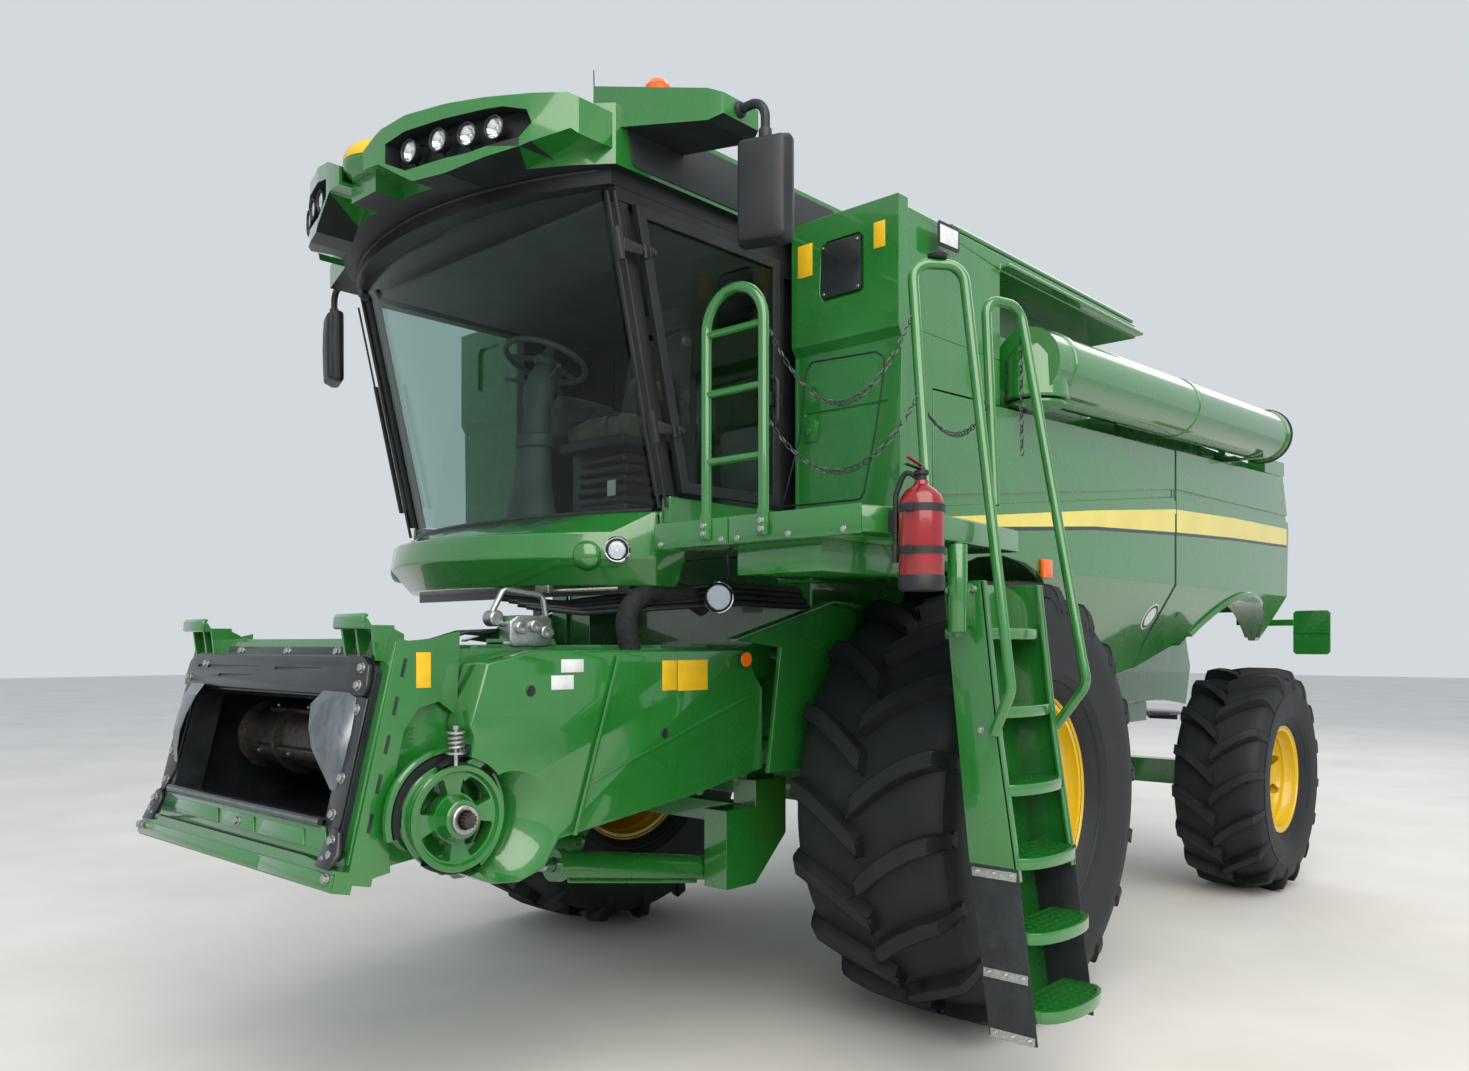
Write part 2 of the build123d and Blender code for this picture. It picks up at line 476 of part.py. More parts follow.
door = side_slab(door_edge(0), (CAB_X + 6, CAB_X + 36))
door -= side_slab(door_edge(DOOR_FRAME), (CAB_X, CAB_X + 40))
handle = block((CAB_X + 36, CAB_X + 56), (DOOR_Y[1] - 90, DOOR_Y[1] - 10), (2790, 2850))
nodes["cab_door"] = door + handle
nodes["door_glass"] = side_slab(door_edge(DOOR_FRAME), (CAB_X + 16, CAB_X + 24))
rear_glass = block((-699, 699), (CAB_REAR_Y - 20, CAB_REAR_Y - 10), (2801, 3399))
nodes["fixed_glass"] = rear_glass + side_slab(door_edge(0), (-CAB_X + 12, -CAB_X + 20))

# seat, steering column and console inside the cab
SEAT_Z = 2720
cushion = side_slab([(-1250, 2760), (-1250, 2810), (-1200, 2830), (-850, 2815), (-800, 3360), (-740, 3380),
                     (-690, 3350), (-770, SEAT_Z), (-1200, SEAT_Z)], (-230, 230))
nodes["seat"] = cushion + block((-160, 160), (-1180, -860), (CAB_FLOOR_Z + 0.5, SEAT_Z))
WHEEL_CENTRE, WHEEL_R = (50, -1560, 3050), 187
column = skinned([oblong((50, y), (width, depth), z) for z, y, width, depth in (
    (CAB_FLOOR_Z + 0.5, -1640, 230, 160), (2420, -1640, 160, 130), (2700, -1615, 110, 90),
    (3060, -1562, 90, 80))])
turn = Plane(origin=WHEEL_CENTRE, z_dir=(0, 0.35, 1)).location
wheel_rim = extrude(RegularPolygon(WHEEL_R, 16) - RegularPolygon(WHEEL_R - 26, 16), 24)
spokes = [Rot(0, 0, angle) * Pos(WHEEL_R / 2, 0, 12) * Box(WHEEL_R - 20, 26, 14) for angle in (90, 210, 330)]
steering_wheel = turn * (wheel_rim + spokes + extrude(RegularPolygon(42, 8), 30))
nodes["steering_column"] = column + steering_wheel
console = side_slab([(-1250, 2880), (-1250, 2930), (-1180, 2960), (-800, 2960), (-800, 2740), (-1050, 2740)],
                    (-420, -250))
nodes["armrest_console"] = console + block((-400, -270), (-1050, -880), (CAB_FLOOR_Z + 0.5, 2740))

# ---- cab roof -----------------------------------------------------------------------------------
# A lamp pod in each half of the visor, with a dark well for four round lamps, and a crowned cap behind
POD_HALF, POD_SIDE_Y, POD_NOSE_Y = 980, -2130, -2500
POD_DEPTH, WELL_DEPTH = 170, 75
ROOF_Z = (CAB_TOP_Z + 0.5, 3560, 3790, 3868)
lining = bowed_slab(CAB_X, -1950, -2200, CAB_REAR_Y, ROOF_Z[:2])
shell = bowed_slab(990, -1960, -2330, CAB_REAR_Y, ROOF_Z[1:3])
cap_foot = bow(985, -1955, -2320, CAB_REAR_Y, ROOF_Z[2])
cap = skinned([cap_foot, bow(800, -1800, -2050, CAB_REAR_Y - 150, ROOF_Z[3])])
BAND_Z = (3500, 3820)


def visor_band(front, depth):
    """Strip that follows the visor's bow, from a distance behind its face to a depth."""
    return (bowed_slab(POD_HALF, POD_SIDE_Y + front, POD_NOSE_Y + front, -1900, BAND_Z)
            - bowed_slab(POD_HALF + 1, POD_SIDE_Y + depth, POD_NOSE_Y + depth, -1800, BAND_Z))


pod_outline = [(95, 3625), (194, 3622), (380, 3515), (526, 3518), (800, 3583), (956, 3640), (1000, 3600),
               (1000, 3740), (947, 3772), (560, 3778), (338, 3774), (213, 3754), (95, 3700)]
well_outline = [(235, 3615), (347, 3562), (617, 3580), (800, 3617), (842, 3665), (825, 3715), (746, 3735),
                (338, 3712), (235, 3690)]
pod = visor_band(0, POD_DEPTH) & section_slab(pod_outline, (-2600, -1900))
well = visor_band(-10, WELL_DEPTH) & section_slab(well_outline, (-2600, -1900))
notch_fill = block((-95, 95), (-2440, -2200), (ROOF_Z[1], 3640))
wing_table = (
    # x, y from and to, z from and to
    (860, -1960, -1600, 3730, 3895), (1380, -1870, -1625, 3630, 3745), (1430, -1840, -1650, 3650, 3725))
wing = skinned([[Vector(x, y0, z0), Vector(x, y1, z0), Vector(x, y1, z1), Vector(x, y0, z1)]
                for x, y0, y1, z0, z1 in wing_table])
LAMP_R, LAMP_DEPTH = 46, 60
lamp_table = ((350, -2452, 3640), (490, -2415, 3652), (613, -2370, 3650), (715, -2322, 3660))
roof_half = (pod - well) + wing
roof = lining + shell + cap + notch_fill + roof_half + other_side(roof_half)
DOME_Y, DOME_R, DOME_Z = -2360, 150, (3640.5, 3800)
BEACON, BEACON_R, BEACON_Z = (1050, -1800), 62, (3815.5, 3920)
roof -= bar((0, DOME_Y, DOME_Z[0]), (0, DOME_Y, 3900), DOME_R + 6, 16)
roof -= bar((*BEACON, BEACON_Z[0]), (*BEACON, BEACON_Z[1]), BEACON_R + 0.5, 12)
lamps = bar((*BEACON, BEACON_Z[0]), (*BEACON, BEACON_Z[1]), BEACON_R, 12)
for x, y, z in lamp_table:
    aim = Plane(origin=(x, y + 20, z), z_dir=(x * 0.45, -1000, -60))
    bulb = extrude(aim * RegularPolygon(LAMP_R, 8), -LAMP_DEPTH)
    roof -= [bulb, other_side(bulb)]
    lamps += [bulb, other_side(bulb)]
nodes["cab_roof"] = roof
nodes["roof_lamps"] = lamps
dome = bar((0, DOME_Y, DOME_Z[0]), (0, DOME_Y, DOME_Z[1]), DOME_R, 16)
dome = chamfer(dome.edges().group_by(Axis.Z)[-1], 40, 55)
nodes["receiver_dome"] = chamfer(dome.edges().group_by(Axis.Z)[0], 40, 30)

mirror_head = section_slab([(1465, 3210), (1485, 3170), (1630, 3170), (1645, 3200), (1645, 3530),
                            (1620, 3555), (1490, 3555), (1465, 3520)],
                           (-1790, -1730))
arm = bent_bar([(1431, -1755, 3690), (1555, -1755, 3690), (1555, -1755, 3550)], 18, 60)
nodes["mirrors"] = (mirror_head + arm) + other_side(mirror_head + arm)

# ---- platform, rails and ladder -----------------------------------------------------------------
deck_outline = [(985, -1750), (1970, -1750), (2050, -1580), (2000, -1170), (1950, -645), (1700, -720),
                (1575, -800), (1575, -950), (985, -950)]
deck = plan_slab(deck_outline, (2126, DECK_Z)) + block((1350, 1750), (-1680, -900), (2010, 2126))
deck += section_slab([(972.5, 2020), (972.5, 2126), (1400, 2126), (1400, 2060), (1340, 2020)], (-1000, -900))
LADDER_PIN = (2000, -1200)
deck += bar((*LADDER_PIN, 1780), (*LADDER_PIN, 2126), 17, PIN_SIDES)
RAIL_X, RAIL_Y, RAIL_TOP = (1268, 1549), -1758, 3050
rail = bent_bar([(RAIL_X[0], RAIL_Y, DECK_Z - 70), (RAIL_X[0], RAIL_Y, RAIL_TOP),
                 (RAIL_X[1], RAIL_Y, RAIL_TOP), (RAIL_X[1], RAIL_Y, DECK_Z - 70)], 20, 138, chords=3)
for z in (2430, 2680, 2900):
    rail += bar((RAIL_X[0], RAIL_Y, z), (RAIL_X[1], RAIL_Y, z), 14, 6)
nodes["deck"] = deck + rail

tread_table = (
    # height of the tread's top, x of its outer edge
    (1815, 2080), (1525, 2130), (1245, 2185), (985, 2240), (725, 2290), (455, 2340))
LADDER_Y = (-1120, -660)
TREAD_IN, TREAD_T = 190, 42
stringer = [(1890, 1990), (2060, 1990), (2127, 1410), (2196, 960), (2275, 330), (2085, 330), (1997, 990)]
ladder = section_slab(stringer, (LADDER_Y[0], LADDER_Y[0] + 12))
ladder += section_slab(stringer, (LADDER_Y[1] - 12, LADDER_Y[1]))
riser = [(1890, 1990), (1905, 1990), (2012, 990), (2100, 330), (2085, 330), (1997, 990)]
ladder += section_slab(riser, LADDER_Y)
middle_y = sum(LADDER_Y) / 2
for z, x in tread_table:
    nosing = [(x - TREAD_IN, LADDER_Y[0]), (x - 40, LADDER_Y[0]), (x, middle_y - 150), (x + 20, middle_y),
              (x, middle_y + 150), (x - 40, LADDER_Y[1]), (x - TREAD_IN, LADDER_Y[1])]
    ladder += plan_slab(nosing, (z - TREAD_T, z))
hinge_tube = bar((*LADDER_PIN, 1800), (*LADDER_PIN, 2118), 36)
hinge_tube -= bore((*LADDER_PIN, 1790), (*LADDER_PIN, 2120), 17.5)
ladder += hinge_tube + block((1985, 2015), (-1175, -1115), (1820, 1980))
ladder += bent_bar([(2110, -1132, 1430), (2185, -1145, 1590), (1990, -1145, 3150), (1870, -1300, 3150),
                    (2010, -1420, 2300)], 20, 60)
ladder += bent_bar([(2110, -648, 1430), (2238, -645, 1600), (1954, -645, 3120), (1904, -830, 3120),
                    (1945, -830, 2300)], 20, 60)
nodes["ladder"] = ladder

BOTTLE = (2130, -1640)
bottle = bar((*BOTTLE, 1930), (*BOTTLE, 2270), 75, 12) + bar((*BOTTLE, 2270), (*BOTTLE, 2310), 48, 12)
bottle += bar((*BOTTLE, 2310), (*BOTTLE, 2350), 20) + block((1985, 2060), (-1660, -1620), (2130, 2200))
nodes["extinguisher"] = bottle - deck

# ---- feeder house -------------------------------------------------------------------------------
DUCT_X = FEEDER_X - 40
duct = side_slab([(-2853.5, 1010), (-1060, 1200), (-1010, 1740), (-2677.9, 1740)], (-FEEDER_X, FEEDER_X))
duct -= side_slab([(-2960, 1040), (-2820, 1700), (-960, 1700), (-1000, 1240)], (-DUCT_X, DUCT_X))
for y in (-2450, -2150, -1850, -1550, -1250):
    duct += block((-FEEDER_X, FEEDER_X), (y - 15, y + 15), (1739, 1752))
ear = side_slab([(-1060, 1560), (-1060, 1740), (-860, 1765), (-760, 1755), (-735, 1700), (-760, 1640),
                 (-800, 1625)], (DUCT_X, FEEDER_X))
ear -= bore((DUCT_X - 20, *FEEDER_PIVOT), (FEEDER_X + 20, *FEEDER_PIVOT), 35.6)
lug = side_slab([(-2450, 1055), (-2420, 920), (-2385, 880), (-2315, 880), (-2280, 920), (-2250, 1080)],
                (LIFT_X + 35, LIFT_X + 55))
lug_pair = lug + Pos(-90, 0, 0) * lug
coupler = block((690, 789), (-2330, -2090), (1739, 1775)) + block((730, 789), (-2300, -2120), (1775, 1860))
feeder_side = lug_pair + ear
nodes["feeder_house"] = duct + feeder_side + other_side(feeder_side) + coupler

# front frame, drawn on its leaning face: a black liner round the mouth, a lip, a bottom beam and two hooks
face_up = Vector(0, FRAME_HEAD[0] - FRAME_FOOT[0], FRAME_HEAD[1] - FRAME_FOOT[1])
FACE_H = face_up.length
face = Plane(origin=(0, *FRAME_FOOT), x_dir=(1, 0, 0), z_dir=(0, -face_up.Z, face_up.Y))
FRAME_T = 87


def on_face(outline, front, back):
    """Outline in (x, distance up the face) extruded between two depths, forward being positive."""
    return extrude(face.offset(back) * Polygon(*outline, align=None), front - back)


def rectangle(x, v):
    """Corners of a rectangle on the face."""
    return [(x[0], v[0]), (x[1], v[0]), (x[1], v[1]), (x[0], v[1])]


MOUTH_X, MOUTH_V = 640, (190, 600)
frame = on_face(rectangle((-FRAME_X, FRAME_X), (0, FACE_H)), 0, -FRAME_T)
frame += on_face([(-760, 100), (-700, 60), (700, 60), (760, 100), (760, 690), (700, 750), (-700, 750),
                  (-760, 690)], 24, 0)
frame -= on_face(rectangle((-MOUTH_X, MOUTH_X), MOUTH_V), 40, -FRAME_T - 10)
lip = on_face(rectangle((-MOUTH_X, MOUTH_X), (MOUTH_V[0] - 22, MOUTH_V[0])), 50, 0)
beam = on_face([(-FRAME_X, -30), (FRAME_X, -30), (FRAME_X, 40), (600, 62), (-600, 62), (-FRAME_X, 40)], 46,
               -20)
side_plate = side_slab([(-2944, 1010), (-2765, 1764), (-2640, 1775), (-2528, 1800), (-2541, 1507),
                        (-2610, 1560), (-2690, 1540),
                        (-2750, 1457), (-2806, 1163), (-2795, 1002), (-2900, 985)], (FRAME_X - 12, FRAME_X))
hooks = [side_slab([(-2800, 1700), (-2815, 1812), (-2740, 1812), (-2695, 1790), (-2695, 1720),
                    (-2740, 1700)], (x, x + 12))
         for x in (-745, -640, -565, 525, 620, 725)]
saddles = [side_slab([(-2835, 1806), (-2840, 1842), (-2828, 1842), (-2815, 1820), (-2730, 1820),
                      (-2730, 1806)], (x, x + 195))
           for x in (-750, 540)]
nodes["feeder_frame"] = frame + lip + beam + side_plate + other_side(side_plate) + hooks + saddles

DRUM_X, DRUM_R, DRUM_SIDES = 630, 120, 10
drum = bar((-DRUM_X, DRUM_Y, DRUM_Z), (DRUM_X, DRUM_Y, DRUM_Z), DRUM_R, DRUM_SIDES)
for x in (-560, -240, 220, 540):
    drum += bar((x, DRUM_Y, DRUM_Z), (x + 20, DRUM_Y, DRUM_Z), DRUM_R + 28, DRUM_SIDES)
for quarter_turn in range(4):
    slat = block((-430, 400), (DRUM_Y - 22, DRUM_Y + 22), (DRUM_Z + DRUM_R - 12, DRUM_Z + DRUM_R + 22))
    drum += slat.rotate(Axis((0, DRUM_Y, DRUM_Z), (1, 0, 0)), 90 * quarter_turn + 20)
nodes["feeder_drum"] = drum

# drive shield on the left side, with the scoop that curls round the header drive's pulley
SHIELD_X = 940
shield = side_slab([(-2500, 1690), (-2470, 1200), (-2299, 1033), (-1467, 1138), (-1060, 1210), (-1060, 1560),
                    (-1190, 1733), (-2300, 1733)],
                   (FEEDER_X + 0.5, SHIELD_X))
shield += side_slab([(-1919, 1717), (-2137, 1055), (-2117, 1052), (-1899, 1717)], (SHIELD_X, SHIELD_X + 14))
scoop = bar((FEEDER_X + 0.5, DRIVE_Y, DRIVE_Z), (SHIELD_X, DRIVE_Y, DRIVE_Z), 470, 24)
scoop -= bar((FEEDER_X - 10, DRIVE_Y - 25, DRIVE_Z + 10), (SHIELD_X + 10, DRIVE_Y - 25, DRIVE_Z + 10), 270,
             24)
scoop &= side_slab([(-2555, 1450), (-2400, 1585), (-2100, 1600), (-2150, 1080), (-2400, 945), (-2573, 975)],
                   (FEEDER_X, SHIELD_X))
PULLEY_R, PULLEY_X = 180, (880, 945)
clearance = bar((FEEDER_X - 20, DRIVE_Y, DRIVE_Z), (SHIELD_X + 20, DRIVE_Y, DRIVE_Z), PULLEY_R + 25, 24)
nodes["drive_shield"] = (shield + scoop) - clearance

hub_end = (PULLEY_X[1] + 15, DRIVE_Y, DRIVE_Z)
pulley = bar((PULLEY_X[0], DRIVE_Y, DRIVE_Z), (PULLEY_X[1], DRIVE_Y, DRIVE_Z), PULLEY_R, 16)
pulley -= bar((PULLEY_X[1] - 18, DRIVE_Y, DRIVE_Z), hub_end, PULLEY_R - 26, 16)
window = side_slab([(DRIVE_Y - 55, DRIVE_Z + 85), (DRIVE_Y - 35, DRIVE_Z + 130),
                    (DRIVE_Y + 35, DRIVE_Z + 130), (DRIVE_Y + 55, DRIVE_Z + 85)],
                   (PULLEY_X[0] - 5, hub_end[0]))
shaft_axis = Axis((0, DRIVE_Y, DRIVE_Z), (1, 0, 0))
pulley -= [window.rotate(shaft_axis, 120 * third) for third in range(3)]
pulley += bar((FEEDER_X + 0.5, DRIVE_Y, DRIVE_Z), hub_end, 62, 12)
nodes["header_drive"] = pulley + rod((PULLEY_X[1] + 10, DRIVE_Y, DRIVE_Z), (1010, DRIVE_Y, DRIVE_Z), 30)

# lift cylinders under the feeder house
pivot, eye = Vector(LIFT_X, *BARREL_PIVOT), Vector(LIFT_X, *ROD_EYE)
along = (eye - pivot).normalized()
across = Vector(1, 0, 0)
BARREL_LENGTH, ROD_LENGTH = 950, 640
barrel = bar(pivot, pivot + along * BARREL_LENGTH, 60) + bar(pivot - across * 40, pivot + across * 40, 60)
barrel += bar(pivot + along * (BARREL_LENGTH - 60), pivot + along * BARREL_LENGTH, 70)
barrel -= bore(pivot + along * 120, pivot + along * (BARREL_LENGTH + 10), 30.5)
barrel -= bore(pivot - across * 60, pivot + across * 60, 28.4)
nodes["lift_barrels"] = barrel + other_side(barrel)
piston = bar(eye - along * ROD_LENGTH, eye, 30, PIN_SIDES) + bar(eye - across * 29, eye + across * 29, 45)
nodes["lift_rods"] = piston + other_side(piston)

# ---- straw chopper and tail ---------------------------------------------------------------------
chopper = side_slab([(4100.5, 1310), (4250.5, 1700), (4188, 2000), (4560, 1900), (4700, 1560), (4600, 1250)],
                    (-690, 690))
DISC_X, DISC_Y, DISC_Z, VANES = 360, 4450, 1180, 6
disc = extrude(RegularPolygon(330, 16), 20, both=False) + extrude(RegularPolygon(60, 8), 50)
disc += [Rot(0, 0, 360 * k / VANES) * Pos(200, 0, -20) * Box(230, 12, 40) for k in range(VANES)]
for side, x in (("left", DISC_X), ("right", -DISC_X)):
    nodes[f"spreader_disc_{side}"] = Pos(x, DISC_Y, DISC_Z - 10) * disc
    chopper += bar((x, DISC_Y, DISC_Z + 46), (x, DISC_Y, DISC_Z + 150), 40)
nodes["straw_chopper"] = chopper

# ---- write --------------------------------------------------------------------------------------
for name, shape in nodes.items():
    export_step(Pos(-ORIGIN_X, -ORIGIN_Y, 0) * shape, f"parts/{name}.step")
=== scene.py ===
import bpy
from math import asin, atan2, cos, hypot, pi, radians, sin, tau
from mathutils import Matrix, Vector


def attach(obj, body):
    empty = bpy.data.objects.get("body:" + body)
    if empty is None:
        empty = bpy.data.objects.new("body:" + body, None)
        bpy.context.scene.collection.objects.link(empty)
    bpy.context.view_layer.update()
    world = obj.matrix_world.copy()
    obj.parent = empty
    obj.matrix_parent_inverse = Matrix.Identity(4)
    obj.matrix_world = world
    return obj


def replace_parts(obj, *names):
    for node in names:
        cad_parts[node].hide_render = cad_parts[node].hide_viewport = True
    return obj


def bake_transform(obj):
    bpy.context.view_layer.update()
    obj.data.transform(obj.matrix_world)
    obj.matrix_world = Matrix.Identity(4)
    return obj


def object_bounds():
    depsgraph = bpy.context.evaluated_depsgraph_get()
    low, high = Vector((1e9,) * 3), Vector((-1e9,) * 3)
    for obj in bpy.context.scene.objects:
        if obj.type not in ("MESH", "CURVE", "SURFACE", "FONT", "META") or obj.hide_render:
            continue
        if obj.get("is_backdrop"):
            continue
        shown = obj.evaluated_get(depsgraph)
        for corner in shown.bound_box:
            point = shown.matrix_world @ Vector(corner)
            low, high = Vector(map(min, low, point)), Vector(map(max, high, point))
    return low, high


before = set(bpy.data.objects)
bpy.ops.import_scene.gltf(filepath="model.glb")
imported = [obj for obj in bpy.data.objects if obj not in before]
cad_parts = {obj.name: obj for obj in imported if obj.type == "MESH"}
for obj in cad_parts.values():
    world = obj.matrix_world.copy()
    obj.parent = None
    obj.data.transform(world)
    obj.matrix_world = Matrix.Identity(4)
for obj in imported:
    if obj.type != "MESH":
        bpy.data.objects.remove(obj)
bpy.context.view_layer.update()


# ---- Floor, light and camera ---------------------------------------------------------------------
# A broad slab of pale, trowelled concrete, matt with faint cloudy patches. A pale sky lights everything
# evenly, a wide softbox high on the machine's front left gives the paint its long soft highlight, and a
# weaker one fills the shadows at its back.
def linear(code):
    """The linear colour, with alpha 1, of an sRGB hex value."""
    channels = [int(code[start:start + 2], 16) / 255 for start in (1, 3, 5)]
    return (*[c / 12.92 if c <= 0.04045 else ((c + 0.055) / 1.055) ** 2.4 for c in channels], 1.0)


def add(tree, kind, settings=None, **joined):
    """Adds a shader node. settings names its properties or sockets, joined links outputs to its sockets."""
    made = tree.nodes.new("ShaderNode" + kind)
    for name, value in (settings or {}).items():
        if hasattr(made, str(name)):
            setattr(made, name, value)
        else:
            made.inputs[name].default_value = value
    for name, output in joined.items():
        tree.links.new(output, made.inputs[int(name[1:]) if name[0] == "_" else name.replace("_", " ")])
    return made


def blank_material(name):
    """An empty material, its node tree and the object coordinates that its patterns read."""
    made = bpy.data.materials.new(name)
    made.use_nodes = True
    tree = made.node_tree
    tree.nodes.clear()
    return made, tree, add(tree, "TexCoord").outputs["Object"]


def tones(tree, factor, *stops):
    """Colour ramp through (position, hex colour) stops."""
    ramp = add(tree, "ValToRGB", Fac=factor)
    while len(ramp.color_ramp.elements) < len(stops):
        ramp.color_ramp.elements.new(0.5)
    for element, (position, code) in zip(ramp.color_ramp.elements, stops):
        element.position, element.color = position, linear(code)
    return ramp.outputs["Color"]


def surface(tree, settings, **joined):
    """The material's principled shader, joined to its output."""
    skin = add(tree, "BsdfPrincipled", settings, **joined)
    add(tree, "OutputMaterial", Surface=skin.outputs[0])
    return skin


def made_of(name, mottle, colours, skin, gloss=None, relief=None, grain=None):
    """A material whose colours follow a mottle, which gloss can map to a roughness. relief is the strength
    and depth of a bump map, from a finer grain where one is given or else from the mottle too."""
    made, tree, place = blank_material(name)
    clouds = add(tree, "TexNoise", mottle, Vector=place).outputs["Fac"]
    sockets = {"Base_Color": tones(tree, clouds, *colours)}
    if gloss:
        sockets["Roughness"] = add(tree, "MapRange", gloss, Value=clouds).outputs[0]
    if relief:
        height = add(tree, *grain, Vector=place).outputs[0] if grain else clouds
        bump = add(tree, "Bump", {"Strength": relief[0], "Distance": relief[1]}, Height=height)
        sockets["Normal"] = bump.outputs["Normal"]
    surface(tree, skin, **sockets)
    return made


FLOOR_HALF = 60.0
bpy.ops.object.select_all(action="DESELECT")
bpy.ops.mesh.primitive_plane_add(size=2 * FLOOR_HALF, location=(0, 0, 0))
floor = bpy.context.object
floor.name = "concrete_floor"

concrete = made_of("trowelled concrete", {"Scale": 0.7, "Detail": 7.0, "Roughness": 0.62},
    ((0.3, "#cfccc7"), (0.75, "#dedbd7")), {"Roughness": 0.8, "Specular IOR Level": 0.25},
    relief=(0.15, 0.002), grain=("TexNoise", {"Scale": 60.0, "Detail": 3.0}))
floor.data.materials.append(concrete)
floor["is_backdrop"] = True

world = bpy.data.worlds.new("pale_sky")
bpy.context.scene.world = world
world.use_nodes = True
tree = world.node_tree
tree.nodes.clear()
rays = add(tree, "LightPath")
mirrored = add(tree, "Math", {"operation": "MAXIMUM"}, _0=rays.outputs["Is Glossy Ray"],
    _1=rays.outputs["Is Transmission Ray"])
shown = add(tree, "Math", {"operation": "MAXIMUM"}, _0=mirrored.outputs[0],
    _1=rays.outputs["Is Camera Ray"])
sky = add(tree, "Background", {"Color": linear("#dfe8f2"), "Strength": 0.9})
backdrop = add(tree, "Background", {"Color": linear("#d4d9de"), "Strength": 1.0})
seen = add(tree, "MixShader", _0=shown.outputs[0], _1=sky.outputs[0], _2=backdrop.outputs[0])
add(tree, "OutputWorld", Surface=seen.outputs[0])

for name, spot, size, power in (("softbox", (9.0, -7.0, 11.0), 16.0, 2700.0),
        ("rear_fill", (-3.0, 12.0, 12.0), 12.0, 600.0)):
    lamp = bpy.data.lights.new(name, "AREA")
    lamp.size, lamp.energy = size, power
    lamp.color = linear("#fff8ee")[:3]
    holder = bpy.data.objects.new(name, lamp)
    bpy.context.collection.objects.link(holder)
    holder.location = spot
    holder.rotation_euler = (Vector((0.0, 0.0, 1.5)) - Vector(spot)).to_track_quat("-Z", "Y").to_euler()

eye = bpy.data.objects.new("camera", bpy.data.cameras.new("camera"))
bpy.context.collection.objects.link(eye)
eye.location = (3.831, -5.676, 1.759)
eye.rotation_euler = (pi / 2, 0.0, radians(42.5))
eye.data.lens, eye.data.sensor_width, eye.data.shift_y = 26.93, 36.0, 0.0733
bpy.context.scene.camera = eye
bpy.context.scene.view_settings.view_transform = "Standard"


# ---- Tyres ---------------------------------------------------------------------------------------
# Radial tractor tyres of black rubber, moulded in one piece. Curved lugs, half a pitch apart on the two
# sides, run from the crown down over the shoulder, and the smooth flanks carry only fine moulded rings.
def at(x, y, z):
    """Point in the scene, from millimetres left of the machine's middle, behind its front axle and up."""
    return Vector((x - 275, y - 975, z)) / 1000


def alone(piece):
    """Selects one piece alone and makes it the active one."""
    bpy.ops.object.select_all(action="DESELECT")
    piece.select_set(True)
    bpy.context.view_layer.objects.active = piece
    return piece


def raw_piece(name, points, edges=(), faces=()):
    """New object from points in metres, selected alone and active."""
    mesh = bpy.data.meshes.new(name)
    mesh.from_pydata([tuple(point) for point in points], edges, faces)
    piece = bpy.data.objects.new(name, mesh)
    bpy.context.collection.objects.link(piece)
    return alone(piece)


def in_edit_mode(*steps):
    """Runs mesh operators, with everything selected at the start, on the active piece."""
    bpy.ops.object.mode_set(mode="EDIT")
    bpy.ops.mesh.select_all(action="SELECT")
    for operator, settings in steps:
        operator(**settings)
    bpy.ops.object.mode_set(mode="OBJECT")


def turned(name, outline, centre, axis, steps=64, arc=tau):
    """Piece turned about an axis through a centre, from an outline in mm along and away from that axis."""
    axis = Vector(axis).normalized()
    away = axis.orthogonal().normalized()
    points = [centre + (axis * along + away * out) / 1000 for along, out in outline]
    piece = raw_piece(name, points, [(k, k + 1) for k in range(len(points) - 1)])
    in_edit_mode((bpy.ops.mesh.spin, dict(steps=steps, angle=arc, center=centre, axis=axis,
        use_normal_flip=False)), (bpy.ops.mesh.select_all, dict(action="SELECT")),
        (bpy.ops.mesh.remove_doubles, dict(threshold=0.0002)), (bpy.ops.mesh.normals_make_consistent,
        dict(inside=False)))
    return piece


def joined(name, pieces):
    """One object out of several."""
    bpy.ops.object.select_all(action="DESELECT")
    for piece in pieces:
        piece.select_set(True)
    bpy.context.view_layer.objects.active = pieces[0]
    if len(pieces) > 1:
        bpy.ops.object.join()
    pieces[0].name = pieces[0].data.name = name
    return pieces[0]


def copied(piece, name, matrix):
    """Copy with its own mesh, moved by a matrix."""
    twin = piece.copy()
    twin.data = piece.data.copy()
    twin.name = twin.data.name = name
    bpy.context.collection.objects.link(twin)
    twin.data.transform(matrix)
    if matrix.determinant() < 0:
        twin.data.flip_normals()
    return twin


MIDDLE = at(0, 0, 0).x
OTHER_SIDE = Matrix.Translation((2 * MIDDLE, 0, 0)) @ Matrix.Scale(-1, 4, (1, 0, 0))


def finished(piece, finish, slot, body="chassis", crease=35):
    """Gives a piece its finish, smooths it up to a crease angle and joins it to its body, if it has one."""
    alone(piece)
    bpy.ops.object.transform_apply(location=True, rotation=True, scale=True)
    piece.data.materials.clear()
    piece.data.materials.append(finish)
    bpy.ops.object.shade_smooth_by_angle(angle=radians(crease))
    if body:
        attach(piece, body)
    return piece


# Rubber is matt black with a slight sheen, and dust dulls it in clouds a hand wide.
tyre_rubber = made_of("carbon black tyre rubber", {"Scale": 5.0, "Detail": 8.0, "Roughness": 0.65},
    ((0.35, "#14181b"), (0.6, "#1b2024"), (0.8, "#2a2c2d")), {"Specular IOR Level": 0.4},
    gloss={"To Min": 0.5, "To Max": 0.72}, relief=(0.25, 0.001), grain=("TexNoise",
    {"Scale": 220.0, "Detail": 2.0}))


